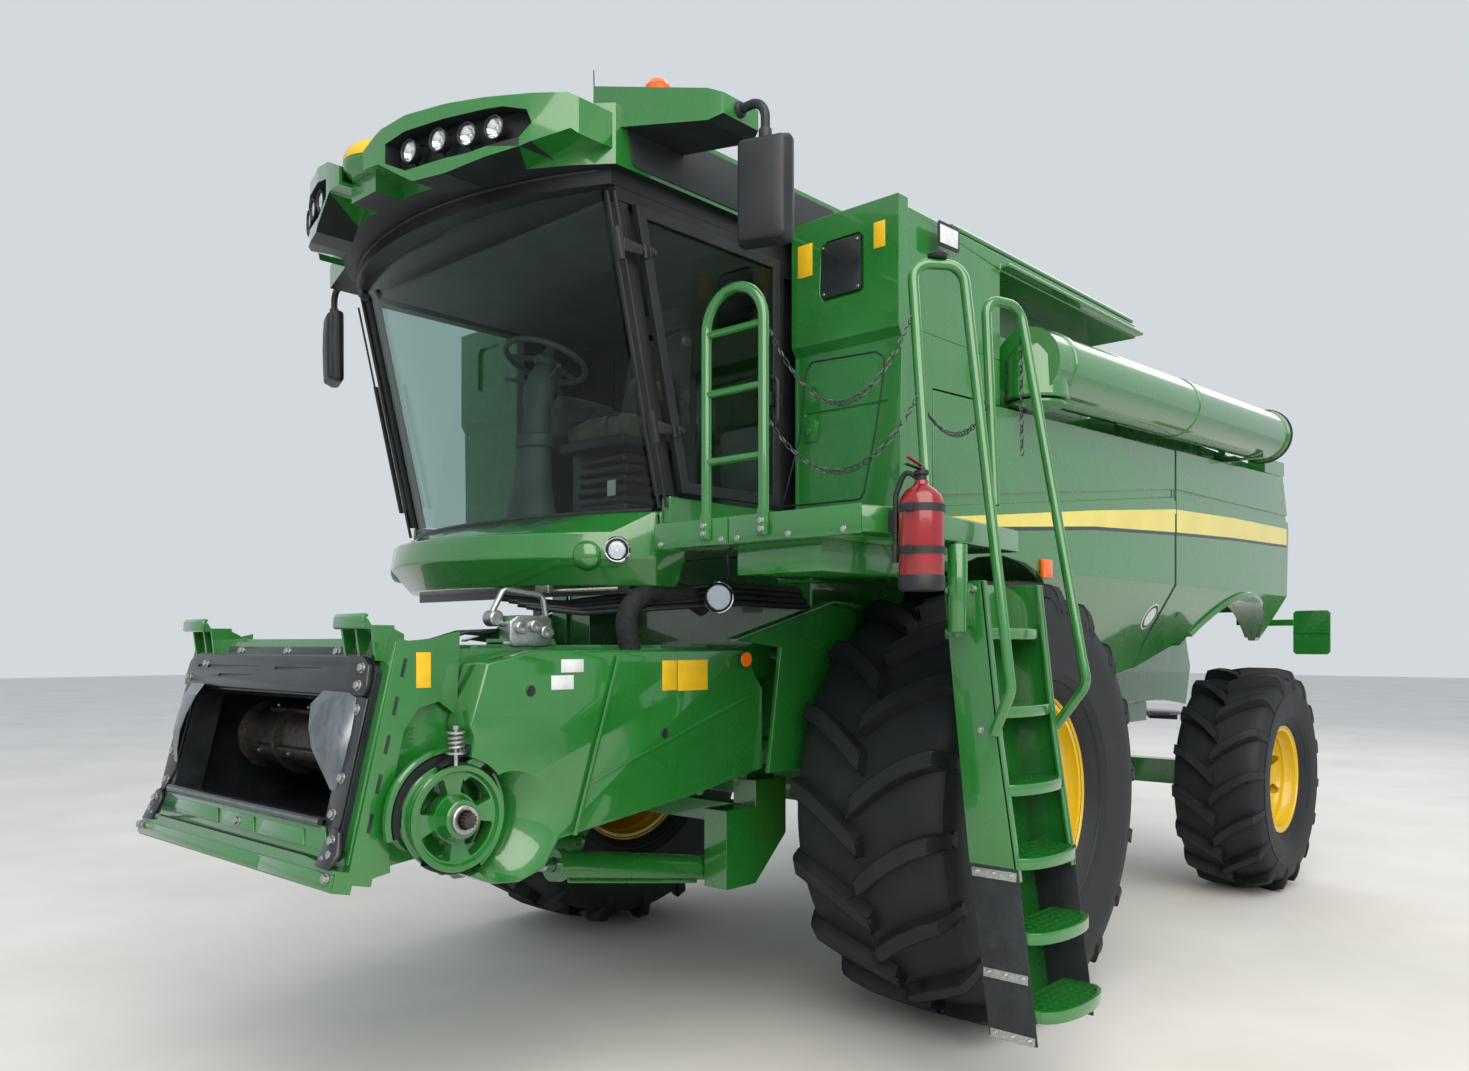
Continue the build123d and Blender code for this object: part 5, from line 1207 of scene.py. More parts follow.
ROUND = 40
RINGS = ((805, -2520, 1160, 150), (850, -2500, 1148, 158), (900, -2462, 1136, 170), (925, -2425, 1126, 183),
    (941, -2396, 1118, 195), (990, -2360, 1110, 215))
points = []
for x, y, z, radius in RINGS:
    points += [at(x, y + radius * cos(tau * k / ROUND), z + radius * sin(tau * k / ROUND))
        for k in range(ROUND)]
for cutter in (well, lofted("scoop", points, ROUND)):
    cut_away(shield, cutter)
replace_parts(finished(shield, green_enamel, "green_paint", "feeder"), "drive_shield")
fold = slab("shield_fold", crease_points, (5, 0, 0), 2)
rib = slab("shield_rib", side_on(953, (-1919, 1716), (-2137, 1056), (-2117, 1053), (-1899, 1716)),
    (5, 0, 0), 3)
finished(joined("shield_folds", [fold, rib]), green_enamel, "green_paint", "feeder")
# Printed film without any print: even yellow, satin, with slightly worn corners.
plain_plate = made_of("plain yellow vinyl plate", {"Scale": 30.0, "Detail": 4.0},
    ((0.3, "#e3b81c"), (0.75, "#d5a916")), {"Roughness": 0.4})
# The same film in white, greyed a little by dust.
# The same white also stands as painted light in the small window on the bulkhead's corner.
white_film_and_painted_light = made_of("plain white vinyl plate", {"Scale": 24.0, "Detail": 4.0},
    ((0.3, "#d9dcdc"), (0.75, "#c4c8c8")), {"Roughness": 0.4})


def film(x, y0, y1, z0, z1):
    """Thin plate on the machine's left side, standing at x between two y and two z limits."""
    return slab("film", side_on(x, *oblong(y0, y1, z0, z1)), (1.2, 0, 0), 0.4)


for name, finish, slot, places in (("shield_yellow_plates", plain_plate, "yellow_paint",
        ((940.3, -1672, -1592, 1570, 1690), (940.3, -1586, -1412, 1566, 1690))),
        ("shield_white_plates", white_film_and_painted_light, "grey_plastic", ((940.3, -2180, -2075, 1652, 1700),
        (940.3, -2225, -2122, 1590, 1642))), ("frame_yellow_plate", plain_plate, "yellow_paint",
        ((820.4, -2700, -2644, 1608, 1728),))):
    finished(joined(name, [film(*spot) for spot in places]), finish, slot, "feeder")

# Sand cast, then bright zinc plated: pale grey metal with a slightly grainy skin.
cast_zinc = made_of("zinc plated iron casting", {"Scale": 160.0, "Detail": 3.0},
    ((0.3, "#8f9494"), (0.7, "#b3b8b8")), {"Metallic": 1.0, "Roughness": 0.36}, relief=(0.25, 0.001))
block = slab("coupler_block", side_on(742, (-2290, 1745), (-2130, 1745), (-2112, 1775), (-2112, 1852),
    (-2150, 1862), (-2270, 1862), (-2306, 1838), (-2306, 1765)), (62, 0, 0), 8, 3)
base = slab("coupler_base", plan(1752, *oblong(700, 800, -2330, -2090)), (0, 0, 14), 4)
ports = [turned("coupler_port", [(-4, 0), (-4, 24), (14, 24), (18, 20), (18, 13), (6, 12), (6, 0)],
    at(804, y, z), (1, 0, 0), 24) for y, z in ((-2262, 1815), (-2198, 1822), (-2150, 1800))]
handle = tube("coupler_handle", side_on(752, (-2190, 1758), (-2354, 1862), (-2296, 1958), (-2118, 1938),
    (-2090, 1790)), 11, 26, 16)
drum_ends = [turned("coupler_boss", [(-18, 0), (-18, 30), (30, 30), (36, 24), (36, 0)], at(728, y, z),
    (1, 0, 0), 24) for y, z in ((-2330, 1850), (-2100, 1800))]
finished(joined("hydraulic_coupler", [block, base, *ports, handle, *drum_ends]), cast_zinc, "bare_steel",
    "feeder")
pipes = [tube("coupler_pipe", [at(x, -2290, z), at(x - 20, -2420, 1800), at(x - 30, -2560, 1760),
    at(x - 30, -2600, 1700)], 7.5, 50, 10) for x, z in ((660, 1790), (690, 1798), (720, 1806))]
finished(joined("coupler_pipes", pipes), black_plastic, "black_plastic", "feeder")

sleeve = tube("hose_sleeve", side_on(800, (-1717, 1730), (-1750, 1890), (-1620, 1975), (-1404, 1968),
    (-1290, 1915)), 44, 120, 20)
# Woven nylon sleeve over a bundle of hoses: matt black, with soft wrinkles across its length.
ribbed = made_of("black braided hose sleeve", {"Scale": 34.0, "Detail": 5.0, "Roughness": 0.6},
    ((0.3, "#0e1012"), (0.75, "#23272a")), {"Roughness": 0.85}, relief=(0.9, 0.012))
finished(sleeve, ribbed, "black_plastic", "feeder")


# ---- Lift cylinders ------------------------------------------------------------------------------
# Green barrels with a screwed gland and chromed rods, pinned between the chassis and the feeder house.
pivot, eye_point = at(515, -950, 700), at(515, -2350, 927)
along = (eye_point - pivot).normalized()
sleeve = turned("lift_barrel", [(-52, 0), (-58, 30), (-50, 50), (30, 58), (900, 58), (904, 68), (948, 68),
    (950, 66), (950, 31)], pivot, along, 40)
pipe_line = tube("barrel_pipe", [pivot + along * 0.12 + Vector((0.02, 0, -0.064)),
    pivot + along * 0.88 + Vector((0.02, 0, -0.064))], 8, 0, 10)
cross = turned("barrel_boss", [(-40, 29), (-40, 55), (40, 55), (40, 29), (-40, 29)], pivot, (1, 0, 0), 32)
barrels = both_sides(joined("lift_barrel", [sleeve, pipe_line, cross]), "lift_barrel_pair")
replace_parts(finished(barrels, green_enamel, "green_paint", "barrels"), "lift_barrels")
piston = turned("lift_rod", [(-640, 0), (-640, 29), (-30, 29), (-20, 36), (0, 36), (10, 0)], eye_point,
    along, 40)
eye_ring = turned("rod_eye", [(-29, 22), (-29, 46), (-25, 50), (25, 50), (29, 46), (29, 22), (-29, 22)],
    eye_point, (1, 0, 0), 32)
rods = both_sides(joined("lift_rod", [piston, eye_ring]), "lift_rod_pair")
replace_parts(finished(rods, chrome, "chrome_rod", "rods"), "lift_rods")


# ---- Cab glazing and door ------------------------------------------------------------------------
# Curved tinted panes bonded into black frames. The door hangs on two black steel hinges by the front
# post, with a black pull handle at its rear edge. A pair of long wiper arms is parked up the right
# front post.
edged(0.6, "windshield")
LEAN = 0.233
straps, leaves = [], []
for z in (3268, 2600):
    front = -1925 + (3268 - z) * 0.27
    axis_y = -1600 - LEAN * (z - 2360)
    straps.append(slab("hinge_strap", side_on(987, (front, z - 26), (axis_y - 12, z - 18),
        (axis_y - 12, z + 18), (front, z + 26)), (9, 0, 0), 4, 3))
    straps.append(turned("hinge_boss", [(-60, 0), (-60, 15), (60, 15), (60, 0)], at(987, front - 15, z),
        (0, -LEAN, 1), 20))
    straps.append(turned("hinge_knuckle", [(-24, 0), (-24, 11), (24, 11), (24, 0)], at(991, axis_y, z),
        (0, -LEAN, 1), 20))
    leaves.append(slab("hinge_leaf", [at(1003, axis_y + step, z + level) for step,
        level in ((12, -18), (42, -14), (50, 0), (42, 14), (12, 18))], (7, 0, 0), 4, 3))
    leaves.append(turned("hinge_cap", [(-6, 0), (-6, 14), (6, 12), (8, 0)], at(1010, axis_y + 30, z),
        (1, 0, 0), 24))
grip = tube("door_pull", front_on(-1060, (985, 2700), (1022, 2720), (1022, 2900), (985, 2920)), 11, 26, 12)
latch = turned("inner_latch", [(-14, 0), (-14, 20), (-4, 26), (4, 26), (12, 18), (12, 0)],
    at(962, -1560, 2975), (1, 0, 0), 24)
finished(joined("hinge_straps", straps), black_plastic, "black_plastic")
finished(joined("door_hinges", leaves), black_plastic, "black_plastic", "door")
finished(joined("door_handle", [grip, latch]), black_plastic, "black_plastic", "door")
seals = [tube("post_seal", [at(x, y - LEAN * (z - 2290), z) for z in range(2300, 3481, 295)], 7, 0, 8)
    for x, y in ((946, -1652), (922, -1668))]
finished(both_sides(joined("post_seals", seals), "post_seals"), black_plastic, "black_plastic")
arm_path = [at(x, y - LEAN * (z - 2290), z) for x, y, z in ((-800, -1735, 2420), (-792, -1749, 2900),
    (-792, -1749, 3380))]
blade = [at(x, -1775 - LEAN * (z - 2290), z) for x, z in ((-764, 2400), (-776, 2400), (-776, 3000),
    (-764, 3000))]
wipers = [tube("wiper_arm", arm_path, 7, 60, 8), tube("wiper_arm", [point + Vector((-0.03, -0.01, 0))
    for point in arm_path], 5, 60, 8), slab("wiper_blade", blade, (0, -22, 0), 2),
    turned("wiper_pivot", [(-20, 0), (-20, 24), (10, 20), (14, 0)], at(-790, -2010, 3440), (0, -1, 0.2),
    20)]
finished(joined("wipers", wipers), black_plastic, "black_plastic")
nose_seal = tube("cowl_seal", [at(x, visor_y(x, 884, -1665, -1842), 2294) for x in range(-880, 881, 80)],
    11, 0, 8)
finished(nose_seal, black_plastic, "black_plastic")


# ---- Cab cowl ------------------------------------------------------------------------------------
# The pressed green nose under the windshield. A round driving lamp in a chrome bezel sits in each
# corner beside a domed blank cover, and a small latch hangs under its lower edge.
COWL_LAMP = at(806, -1792, 2131)
for sign, side in ((1, "left"), (-1, "right")):
    aim = Vector((0.76 * sign, -0.65, 0.04))
    centre = COWL_LAMP if sign > 0 else OTHER_SIDE @ COWL_LAMP
    bezel_ring = turned("cowl_lamp_ring", [(-30, 0), (-30, 56), (6, 54), (12, 48), (10, 43), (0, 42),
        (0, 0)], centre, aim, 40)
    finished(bezel_ring, chrome, "chrome_rod")
    work_lamp(f"cowl_lamp_{side}", centre + aim * 0.01, aim, 44, "chassis")
    dome = turned("cowl_dome", [(-30, 62), (0, 58), (14, 46), (22, 28), (25, 0)],
        at(sign * 717, -1872, 2112), (0.67 * sign, -0.74, 0.06), 40)
    finished(dome, green_enamel, "green_paint", crease=60)
under = [slab("cowl_latch", plan(1990, (560, -2010), (620, -1990), (620, -1960), (560, -1980)), (0, 0, -34),
    4), tube("cowl_stay", [at(300, -1990, 1985), at(470, -2000, 1962), at(640, -1960, 1966),
    at(820, -1800, 1976)], 9, 60, 8)]
finished(joined("cowl_latches", under), bare_steel, "bare_steel")


# ---- Operator's seat -----------------------------------------------------------------------------
# An air-sprung seat in brown and grey cloth over foam, each cushion sewn from panels with piped seams.
# The bolt-on arm rests are padded too. Black bellows hide the spring under a pressed pan. Brown and
# charcoal woven cloth, 2 mm weave, with darker worn patches on the crowns.
seat_cloth = made_of("woven seat cloth", {"Scale": 9.0, "Detail": 5.0},
    ((0.3, "#3f3a33"), (0.7, "#5d554a")), {"Roughness": 0.92, "Sheen Weight": 0.3}, relief=(0.5, 0.001),
    grain=("TexVoronoi", {"Scale": 520.0}))


def cushion(name, outline, depth, rest_limit=0.026):
    """Foam pad sewn in cloth: a rounded block, swollen by the filling's pressure under a tight cover."""
    pad = slab(name, outline, depth, 34, 4)
    pad.data.remesh_voxel_size = 0.009
    bpy.context.view_layer.objects.active = pad
    bpy.ops.object.voxel_remesh()
    rest = [vertex.co.copy() for vertex in pad.data.vertices]
    filling = pad.modifiers.new("filling", "CLOTH")
    filling.settings.use_pressure = True
    filling.settings.uniform_pressure_force = 4
    filling.settings.effector_weights.gravity = 0
    filling.point_cache.frame_end = 20
    for frame_at in range(1, 21):
        bpy.context.scene.frame_set(frame_at)
    bpy.ops.object.modifier_apply(modifier="filling")
    bpy.context.scene.frame_set(1)
    for vertex, start in zip(pad.data.vertices, rest):
        move = vertex.co - start
        if move.length > rest_limit:
            vertex.co = start + move * (rest_limit / move.length)
    smooth = pad.modifiers.new("smooth", "SMOOTH")
    smooth.factor, smooth.iterations = 0.5, 4
    bpy.ops.object.modifier_apply(modifier="smooth")
    return pad


pads = (("seat_cushion", [(-1245, 2740), (-1245, 2820), (-1170, 2845), (-880, 2828), (-860, 2740)], 450,
    -225), ("seat_back", [(-850, 2830), (-905, 2860), (-850, 3180), (-800, 3350), (-730, 3360),
    (-760, 2830)], 430, -215), ("seat_head_rest", [(-790, 3375), (-805, 3400), (-780, 3478), (-725, 3482),
    (-715, 3380)], 260, -130))
for name, outline, wide, x0 in pads:
    pad = cushion(name, side_on(x0, *outline), (wide, 0, 0))
    finished(pad, seat_cloth, "seat_fabric", crease=60)
REST = ((-1230, 2925), (-1240, 2985), (-1200, 3010), (-880, 3000), (-870, 2940))
rests = [cushion("arm_rest", side_on(sign * 245, *REST), (sign * 75, 0, 0), 0.014) for sign in (1, -1)]
finished(joined("seat_arm_rests", rests), seat_cloth, "seat_fabric", crease=60)
seams = [tube("piped_seam", side_on(sign * x, *path), 4, 30, 8) for sign in (-1, 1) for x,
    path in ((130, ((-1262, 2760), (-1262, 2838), (-1150, 2862), (-880, 2846))),
    (120, ((-925, 2880), (-868, 3180), (-818, 3340))))]
finished(joined("seat_seams", seams), black_plastic, "seat_fabric")
folds = []
for k in range(5):
    half = 170 + 14 * (k % 2)
    folds.append(slab("bellows_fold", plan(2430 + 50 * k, *oblong(-half, half, -1190, -880)), (0, 0, 44),
        18, 3))
folds.append(slab("seat_pan", side_on(-235, (-1250, 2700), (-1250, 2745), (-790, 2745), (-760, 2860),
    (-745, 2860), (-765, 2700)), (470, 0, 0), 12, 3))
folds.append(slab("seat_plinth", plan(2291, *oblong(-200, 200, -1210, -860)), (0, 0, 138), 14, 3))
folds.append(slab("seat_shell", side_on(-205, (-750, 2840), (-725, 3350), (-705, 3350), (-730, 2840)),
    (410, 0, 0), 8, 3))
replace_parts(finished(joined("seat_base", folds), black_plastic, "black_plastic"), "seat")


# ---- Steering column, console and cab floor ------------------------------------------------------
# Dark grey moulded column that widens to a boot at the floor. It carries a three-spoke wheel with a
# soft rim and two stalks. A grey console with a lever and a small blank screen stands to the right of
# the seat. Polypropylene trim with a fine matt grain and a little dust.
grey_moulding = made_of("dark grey moulded plastic", {"Scale": 6.0, "Detail": 6.0},
    ((0.3, "#3b4042"), (0.7, "#4c5254")), {"Roughness": 0.6}, relief=(0.15, 0.001),
    grain=("TexVoronoi", {"Scale": 480.0}))
COLUMN = ((2292, -1640, 150, 115), (2330, -1640, 132, 100), (2480, -1636, 100, 78), (2640, -1626, 86, 68),
    (2650, -1625, 98, 78), (2700, -1620, 98, 78), (2712, -1618, 74, 60), (2830, -1608, 66, 54),
    (2850, -1604, 80, 64), (2930, -1594, 84, 68), (3000, -1578, 62, 52), (3036, -1566, 44, 40))
points = [at(50 + across * cos(tau * k / 32), y + deep * sin(tau * k / 32), z) for z, y, across,
    deep in COLUMN for k in range(32)]
column = lofted("steering_column", points, 32, foot=False)
WHEEL, WHEEL_AXIS = at(50, -1560, 3056), Vector((0, 0.35, 1)).normalized()
rim_ring = turned("wheel_rim", [(14 * sin(tau * k / 12), 187 + 14 * cos(tau * k / 12)) for k in range(13)],
    WHEEL, WHEEL_AXIS, 64)
hub = turned("wheel_hub", [(-30, 0), (-30, 44), (-4, 56), (10, 50), (18, 30), (20, 0)], WHEEL, WHEEL_AXIS,
    40)
across, forward = Vector((1, 0, 0)), WHEEL_AXIS.cross(Vector((1, 0, 0)))
spokes = []
for turn in (0, 120, 240):
    out = across * cos(radians(turn + 90)) + forward * sin(radians(turn + 90))
    width = WHEEL_AXIS.cross(out) * 0.017
    spokes.append(slab("spoke", [WHEEL + out * 0.04 - width * 1.4, WHEEL + out * 0.182 - width,
        WHEEL + out * 0.182 + width, WHEEL + out * 0.04 + width * 1.4], WHEEL_AXIS * 10, 4))
stalks = [tube("stalk", [at(50, -1580, 2950), at(50 + side * 110, -1600, 2975),
    at(50 + side * 200, -1640, 2990)], 9, 40, 10) for side in (1, -1)]
wheel = joined("steering_column", [column, rim_ring, hub, *spokes, *stalks])
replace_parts(finished(wheel, grey_moulding, "grey_plastic"), "steering_column")
console = slab("console", side_on(-420, (-1250, 2800), (-1262, 2900), (-1215, 2965), (-1080, 2985),
    (-800, 2985), (-800, 2740), (-1100, 2740)), (165, 0, 0), 22, 3)
stem = slab("console_stem", plan(2291, *oblong(-400, -270, -1040, -820)), (0, 0, 460), 14)
lever = tube("drive_lever", side_on(-335, (-1160, 2960), (-1175, 3040), (-1195, 3110)), 13, 30, 12)
knob = turned("lever_knob", [(-40, 0), (-40, 20), (-10, 32), (20, 30), (36, 16), (40, 0)],
    at(-335, -1200, 3130), (0, -0.2, 1), 24)
screen = slab("display", [at(-440, -1290, 2990), at(-250, -1290, 2990), at(-250, -1262, 3130),
    at(-440, -1262, 3130)], (0, 28, 6), 8)
armrest = joined("armrest_console", [console, stem, lever, knob, screen])
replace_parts(finished(armrest, grey_moulding, "grey_plastic"), "armrest_console")
mat = slab("floor_mat", plan(2291, (-800, -1600), (800, -1600), (860, -560), (-860, -560)), (0, 0, 8), 3)
finished(mat, sheet_rubber, "black_plastic")
trim = [slab("rear_trim", [at(-860, -512, 2300), at(860, -512, 2300), at(860, -530, 2790),
    at(-860, -530, 2790)], (0, -30, 0), 12), slab("head_lining", plan(3462, (-840, -1900), (840, -1900),
    (880, -560), (-880, -560)), (0, 0, 20), 8), slab("side_cabinet",
    side_on(520, (-900, 2292), (-900, 2760), (-560, 2820), (-560, 2292)), (330, 0, 0), 24)]
finished(joined("cab_trim", trim), grey_moulding, "grey_plastic")
plate = slab("seat_plate", front_on(-1196, *oblong(60, 120, 2470, 2545)), (0, -1, 0))
finished(plate, white_film_and_painted_light, "grey_plastic")
hose = tube("air_hose", [at(235, -900, 2880), at(262, -1000, 2980), at(258, -1080, 3010),
    at(250, -1120, 2860)], 12, 50, 12)
finished(hose, amber_lens, "lamp_lens")


# ---- Bulkhead details ----------------------------------------------------------------------------
# The tank's front wall behind the platform carries a window whose opaque black pane is painted shade,
# two blank yellow plates, a service door with a round latch, and round the corner a small window whose
# white pane is painted light.
BULK = -941
# The window's pane is opaque black: painted shade of the dark inside behind the glass.
pane = slab("bulkhead_window", front_on(BULK + 12, (1178, 3245), (1380, 3250), (1378, 3476), (1364, 3482),
    (1180, 3482), (1166, 3470), (1164, 3300)), (0, -12, 0), 5)
finished(pane, black_enamel_and_painted_shade, "glass")
window_bolts = [(at(x, BULK - 1, z), (0, -1, 0)) for x, z in ((1182, 3462), (1362, 3462), (1186, 3262),
    (1366, 3262))]
bolt_set("bulkhead_window_bolts", "chassis", window_bolts, 12, 5, washer=False)
plates = [slab("blank_plate", front_on(-941.5, *oblong(x0, x1, z0, z1)), (0, -1.2, 0), 0.4) for x0, x1, z0,
    z1 in ((1040, 1122, 3362, 3504), (1446, 1504, 3397, 3506))]
finished(joined("bulkhead_plates", plates), plain_plate, "yellow_paint")
door_line = front_on(-917, (930, 2372), (1040, 2700), (1068, 2960), (1100, 2992), (1440, 2978),
    (1482, 2950), (1478, 2880), (1440, 2660), (1380, 2400), (1360, 2368), (930, 2372))
finished(tube("service_door_seal", door_line, 3.5, 20, 8), sheet_rubber, "black_plastic")
knobs = [turned("latch", [(0, 0), (0, 16), (6, 15), (8, 0)], at(1075, -917, 2690), (0, -1, 0), 24),
    slab("latch_pan", front_on(-917, (1060, 2640), (1130, 2640), (1140, 2730), (1065, 2740)), (0, -3, 0),
    1)]
finished(joined("service_door_latch", knobs), green_enamel, "green_paint")
corner_frame = slab("corner_window_frame", side_on(1570.5, (-650, 3470), (-640, 3462), (-488, 3468),
    (-476, 3480), (-476, 3566), (-488, 3576), (-640, 3572), (-650, 3562)), (5, 0, 0), 2)
finished(corner_frame, black_plastic, "black_plastic")
# The small window's pane is white film: painted light.
painted_light_pane = slab("corner_window", side_on(1575, (-636, 3478), (-492, 3484), (-492, 3560), (-636, 3556)),
    (2.5, 0, 0), 1)
finished(painted_light_pane, white_film_and_painted_light, "lamp_lens")


# ---- Lamp and hoses under the platform -----------------------------------------------------------
# A chromed work lamp on a bent bracket looks forward from under the platform. Black hydraulic hoses run
# back beside it along the machine's body.
LAMP = at(947, -1350, 1951)
cup = turned("body_lamp_cup", [(-70, 0), (-66, 30), (-40, 56), (0, 66), (8, 66), (10, 62), (4, 58), (0, 56),
    (0, 0)], LAMP, (0.45, -0.89, -0.03), 40)
finished(cup, chrome, "chrome_rod")
work_lamp("body_lamp", LAMP + Vector((0.45, -0.89, 0)) * 0.008, (0.45, -0.89, -0.03), 60, "chassis")
stay = tube("body_lamp_stay", [at(940, -1310, 1975), at(920, -1260, 2050), at(900, -1250, 2130)], 12, 30,
    10)
hoses = [tube("body_hose", [at(260 + 60 * k, -1960, 1950 - 14 * k), at(420 + 50 * k, -1760, 1925 - 14 * k),
    at(700 + 30 * k, -1620, 1960 - 20 * k), at(860 + 20 * k, -1200, 2010 - 26 * k),
    at(880 + 20 * k, -700, 2000 - 26 * k)], 15 - 3 * (k % 2), 120, 12) for k in range(4)]
finished(joined("body_hoses", [stay, *hoses]), black_plastic, "black_plastic")
# A black sheet across the gap under the cab's nose is painted shade.
cover = slab("throat_shade_sheet", front_on(-1701, *oblong(-780, 780, 1960, 2130)), (0, -6, 0), 2)
finished(cover, black_enamel_and_painted_shade, "black_paint")


# ---- Chains --------------------------------------------------------------------------------------
# Two black link chains close the gap between the platform rail and the ladder rail, hooked on both. A
# third crosses the ladder and two spare ends hang from its rails.
# Links are of 5 mm wire.
def chain(start, end, sag):
    """Links along a sagging line between two points, each turned a quarter to the last."""
    points, faces = [], []
    count = int(((end - start).length + sag / 1000) / 0.03)
    for k in range(count):
        share = (k + 0.5) / count
        here = start.lerp(end, share) - Vector((0, 0, 4 * share * (1 - share) * sag / 1000))
        run = ((end - start) - Vector((0, 0, 4 * (1 - 2 * share) * sag / 1000))).normalized()
        flat = run.cross(Vector((0.3, 0.9, 0.2)) if k % 2 else Vector((0.9, 0.1, 0.4))).normalized()
        upright = run.cross(flat)
        first = len(points)
        for j in range(10):
            out = run * (0.018 * cos(tau * j / 10)) + flat * (0.010 * sin(tau * j / 10))
            for i in range(4):
                points.append(here + out + (out.normalized() * cos(tau * i / 4) + upright
                    * sin(tau * i / 4)) * 0.0028)
        faces += [(first + 4 * j + i, first + 4 * j + (i + 1) % 4, first + 4 * ((j + 1) % 10) + (i + 1) % 4,
            first + 4 * ((j + 1) % 10) + i) for j in range(10) for i in range(4)]
    return raw_piece("chain", points, faces=faces)


RAIL_HOOKS = (at(1549, -1738, 2890), at(1549, -1738, 2560))
LADDER_HOOKS = (at(1903, -1340, 2950), at(1954, -1384, 2640))
barriers = joined("barrier_chains", [chain(RAIL_HOOKS[0], LADDER_HOOKS[0], 300),
    chain(RAIL_HOOKS[1], LADDER_HOOKS[1], 230)])
finished(barriers, black_enamel_and_painted_shade, "black_paint", None, crease=60)
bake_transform(barriers)
chains = [chain(at(1958, -1386, 2620), at(1921, -818, 2720), 130), chain(at(1912, -830, 3040),
    at(1912, -822, 2500), 0), chain(at(1958, -645, 3000), at(1962, -640, 2520), 0)]
finished(joined("ladder_chains", chains), black_enamel_and_painted_shade, "black_paint", "ladder_swing", crease=60)


# ---- Side panels ---------------------------------------------------------------------------------
# Large moulded panels, hinged along their top edge. A yellow stripe sweeps along the pressed groove,
# with a black strip under it that is painted shade in the groove. A blank round plate sits low on the front
# panel, and each panel has a round latch.
TUCK = (0.871, 0, -0.491)

# Cast vinyl film: a soft pale yellow under a clear gloss layer, a little mottled by dust.
stripe_film = made_of("pale yellow stripe film", {"Scale": 5.0, "Detail": 6.0},
    ((0.3, "#e2d25e"), (0.75, "#d6c553")), {"Roughness": 0.3, "Coat Weight": 0.8})


def on_both(panel, *dressings):
    """Puts copies of (piece, name, finish, slot) dressings on the left and the right panel of a pair."""
    for side, move in (("left", Matrix.Identity(4)), ("right", OTHER_SIDE)):
        for piece, name, finish, slot in dressings:
            finished(copied(piece, f"{name}_{side}", move), finish, slot, f"{panel}_{side}")
    for piece, *_ in dressings:
        bpy.data.objects.remove(piece)


for name, latch_y, rows in (
        # panel, place of its latch, y with the stripe's lower and upper edge
        ("front", 2155, ((-600, 2268, 2306), (0, 2312, 2369), (1000, 2392, 2478), (2172, 2447, 2589))),
        ("rear", 2461, ((2188, 2448, 2589), (3200, 2486, 2622), (4420, 2514, 2638)))):
    stripe_edge = [at(1520.2, y, low) for y, low, _ in rows] + [at(1520.2, y, high) for y, _,
        high in reversed(rows)]
    stripe = slab("stripe", stripe_edge, (1.0, 0, 0))
    # A black strip under the stripe is painted shade in the groove.
    shade_edge = [at(1520.2, y, low - 20) for y, low, _ in rows] + [at(1520.2, y, low - 3) for y, low,
        _ in reversed(rows)]
    shade = slab("stripe_shadow", shade_edge, (0.8, 0, 0))
    panel_latch = turned("panel_latch", [(0, 0), (0, 20), (5, 18), (7, 8), (3, 0)], at(1417, latch_y, 1945),
        TUCK, 28)
    on_both(f"panel_{name}", (stripe, f"stripe_{name}", stripe_film, "yellow_paint"),
        (shade, f"stripe_shade_{name}", black_enamel_and_painted_shade, "black_paint"),
        (panel_latch, f"latch_{name}", black_plastic, "black_plastic"))
seam_lines = []
for low, high in (((1521, 2118), (1521, 2560)), ((1521, 2640), (1521, 2960)), ((1303, 1731), (1521, 2118))):
    seam_lines.append(slab("seam_seal", [at(x, y, z) for (x, z), y in ((low, 2158), (low, 2176),
        (high, 2176), (high, 2158))], (1.2, 0, 0), 0))
on_both("panel_front", (joined("panel_seam", seam_lines), "panel_seam", sheet_rubber, "black_plastic"))
points = []
STEPS = 28
for k in range(STEPS + 1):
    turn = radians(-44 + 88 * k / STEPS)
    flush = 1520 - max(2120 - 1070 - 1036 * cos(turn), 0) * 0.564
    for x, radius in ((1262, 1018), (flush + 24, 1018), (flush + 24, 1046), (flush + 16, 1054),
            (1262, 1054)):
        points.append(at(x, 3560 + radius * sin(turn), 1070 + radius * cos(turn)))
on_both("panel_rear", (lofted("arch_lip", points, 5), "arch_lip", green_enamel, "green_paint"))
PLATE = at(1410, 2041, 1923)
disc = turned("round_plate", [(0, 0), (0, 90), (2, 88), (2, 0)], PLATE, TUCK, 48)
disc_ring = turned("round_plate_ring", [(2, 62), (3.5, 62), (3.5, 80), (2, 80), (2, 62)], PLATE, TUCK, 48)
finished(disc, white_film_and_painted_light, "grey_plastic", "panel_front_left")
finished(disc_ring, grey_moulding, "grey_plastic", "panel_front_left")
marker = slab("side_marker", side_on(1520.5, *oblong(380, 480, 2085, 2180)), (22, 0, 0), 6)
finished(both_sides(marker, "side_markers"), amber_lens, "lamp_lens")


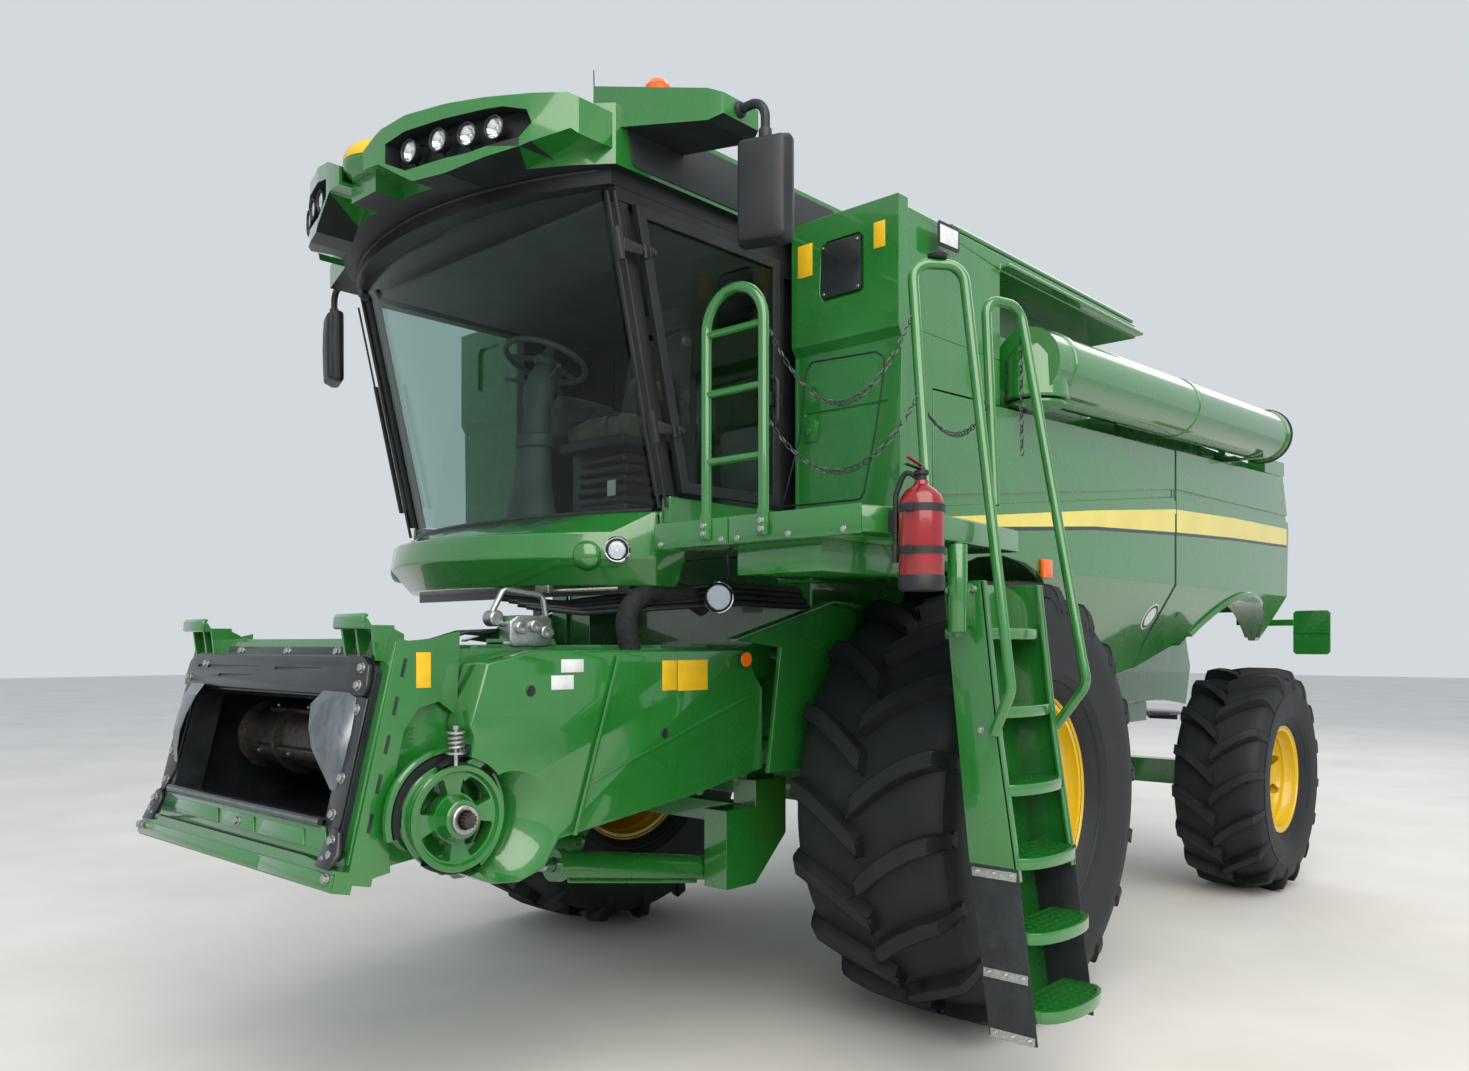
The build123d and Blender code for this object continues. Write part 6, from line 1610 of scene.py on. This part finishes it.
# ---- Unloading auger -----------------------------------------------------------------------------
# A long rolled steel tube on a swivel elbow, painted green. It has a clamp band half way, a flanged
# spout with a black rubber edge, and an inspection plate with two bolts on the elbow. The auger's shaft
# ends inside it.
FOOT, SPOUT = at(1600, 190, 3094), at(1600, 3571, 3226)
along = (SPOUT - FOOT).normalized()
LONG = (SPOUT - FOOT).length * 1000
tube_skin = turned("auger_tube", [(-0.03 * LONG, 0), (-0.03 * LONG, 170), (0.018 * LONG, 170),
    (0.02 * LONG, 178), (0.028 * LONG, 178), (0.03 * LONG, 170), (0.498 * LONG, 170), (0.5 * LONG, 176),
    (0.512 * LONG, 176), (0.514 * LONG, 170), (LONG - 6, 170), (LONG, 184), (LONG + 26, 184),
    (LONG + 30, 180), (LONG + 30, 160), (0.91 * LONG, 158), (0.91 * LONG, 0)], FOOT, along, 96)
elbow = turned("auger_elbow", [(-172, 0), (-172, 150), (-160, 156), (-140, 150), (20, 150), (80, 120),
    (110, 60), (118, 0)], FOOT, (0, 0, 1), 64)
plate = slab("elbow_plate", side_on(1432, (100, 3060), (120, 3040), (260, 3040), (280, 3060), (280, 3230),
    (250, 3262), (130, 3262), (100, 3230)), (-10, 0, 0), 4)
auger = joined("auger_tube", [tube_skin, elbow, plate])
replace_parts(finished(auger, green_enamel, "green_paint", "auger"), "auger_tube")
edge = turned("spout_edge", [(LONG + 26, 178), (LONG + 26, 190), (LONG + 44, 190), (LONG + 44, 178),
    (LONG + 26, 178)], FOOT, along, 96)
finished(edge, sheet_rubber, "black_plastic", "auger")
shaft = turned("auger_shaft", [(0.905 * LONG, 0), (0.905 * LONG, 24), (0.98 * LONG, 24), (0.98 * LONG, 0)],
    FOOT, along, 24)
finished(shaft, bare_steel, "bare_steel", "auger")
bolt_set("elbow_bolts", "auger", [(at(1421, y, 3242), (-1, 0, 0)) for y in (150, 230)], 22, 12)


# ---- Cooling, engine and tail --------------------------------------------------------------------
# A fine wire screen covers the radiator on the machine's right, and the engine stands in dark primer.
# Red lamps and amber reflectors are bolted to the hood, and one more reflector to the feeder house.
dress(mesh_grille, "cooling_screen")
# Cast iron under dark green primer, oily and dusty in broad patches.
cast_primer = made_of("dark engine primer", {"Scale": 5.0, "Detail": 8.0, "Roughness": 0.65},
    ((0.3, "#16241a"), (0.7, "#2c3a2e")), {}, gloss={"To Min": 0.35, "To Max": 0.75})
dress(cast_primer, "engine_block")
red = turned("tail_lamp", [(0, 0), (0, 52), (14, 50), (20, 40), (22, 0)], at(1450, 4361, 2480), (0, 1, 0),
    36)
finished(both_sides(red, "tail_lamps"), red_enamel, "lamp_lens")
amber = turned("tail_reflector", [(0, 0), (0, 40), (8, 38), (10, 0)], at(1450, 4361, 2340), (0, 1, 0), 32)
finished(both_sides(amber, "tail_reflectors"), amber_lens, "lamp_lens")
disc_orange = turned("chassis_reflector", [(0, 0), (0, 32), (7, 30), (9, 0)], at(970, -1206, 1690),
    (1, 0, 0), 28)
finished(disc_orange, amber_lens, "lamp_lens", "feeder")


low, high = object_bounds()
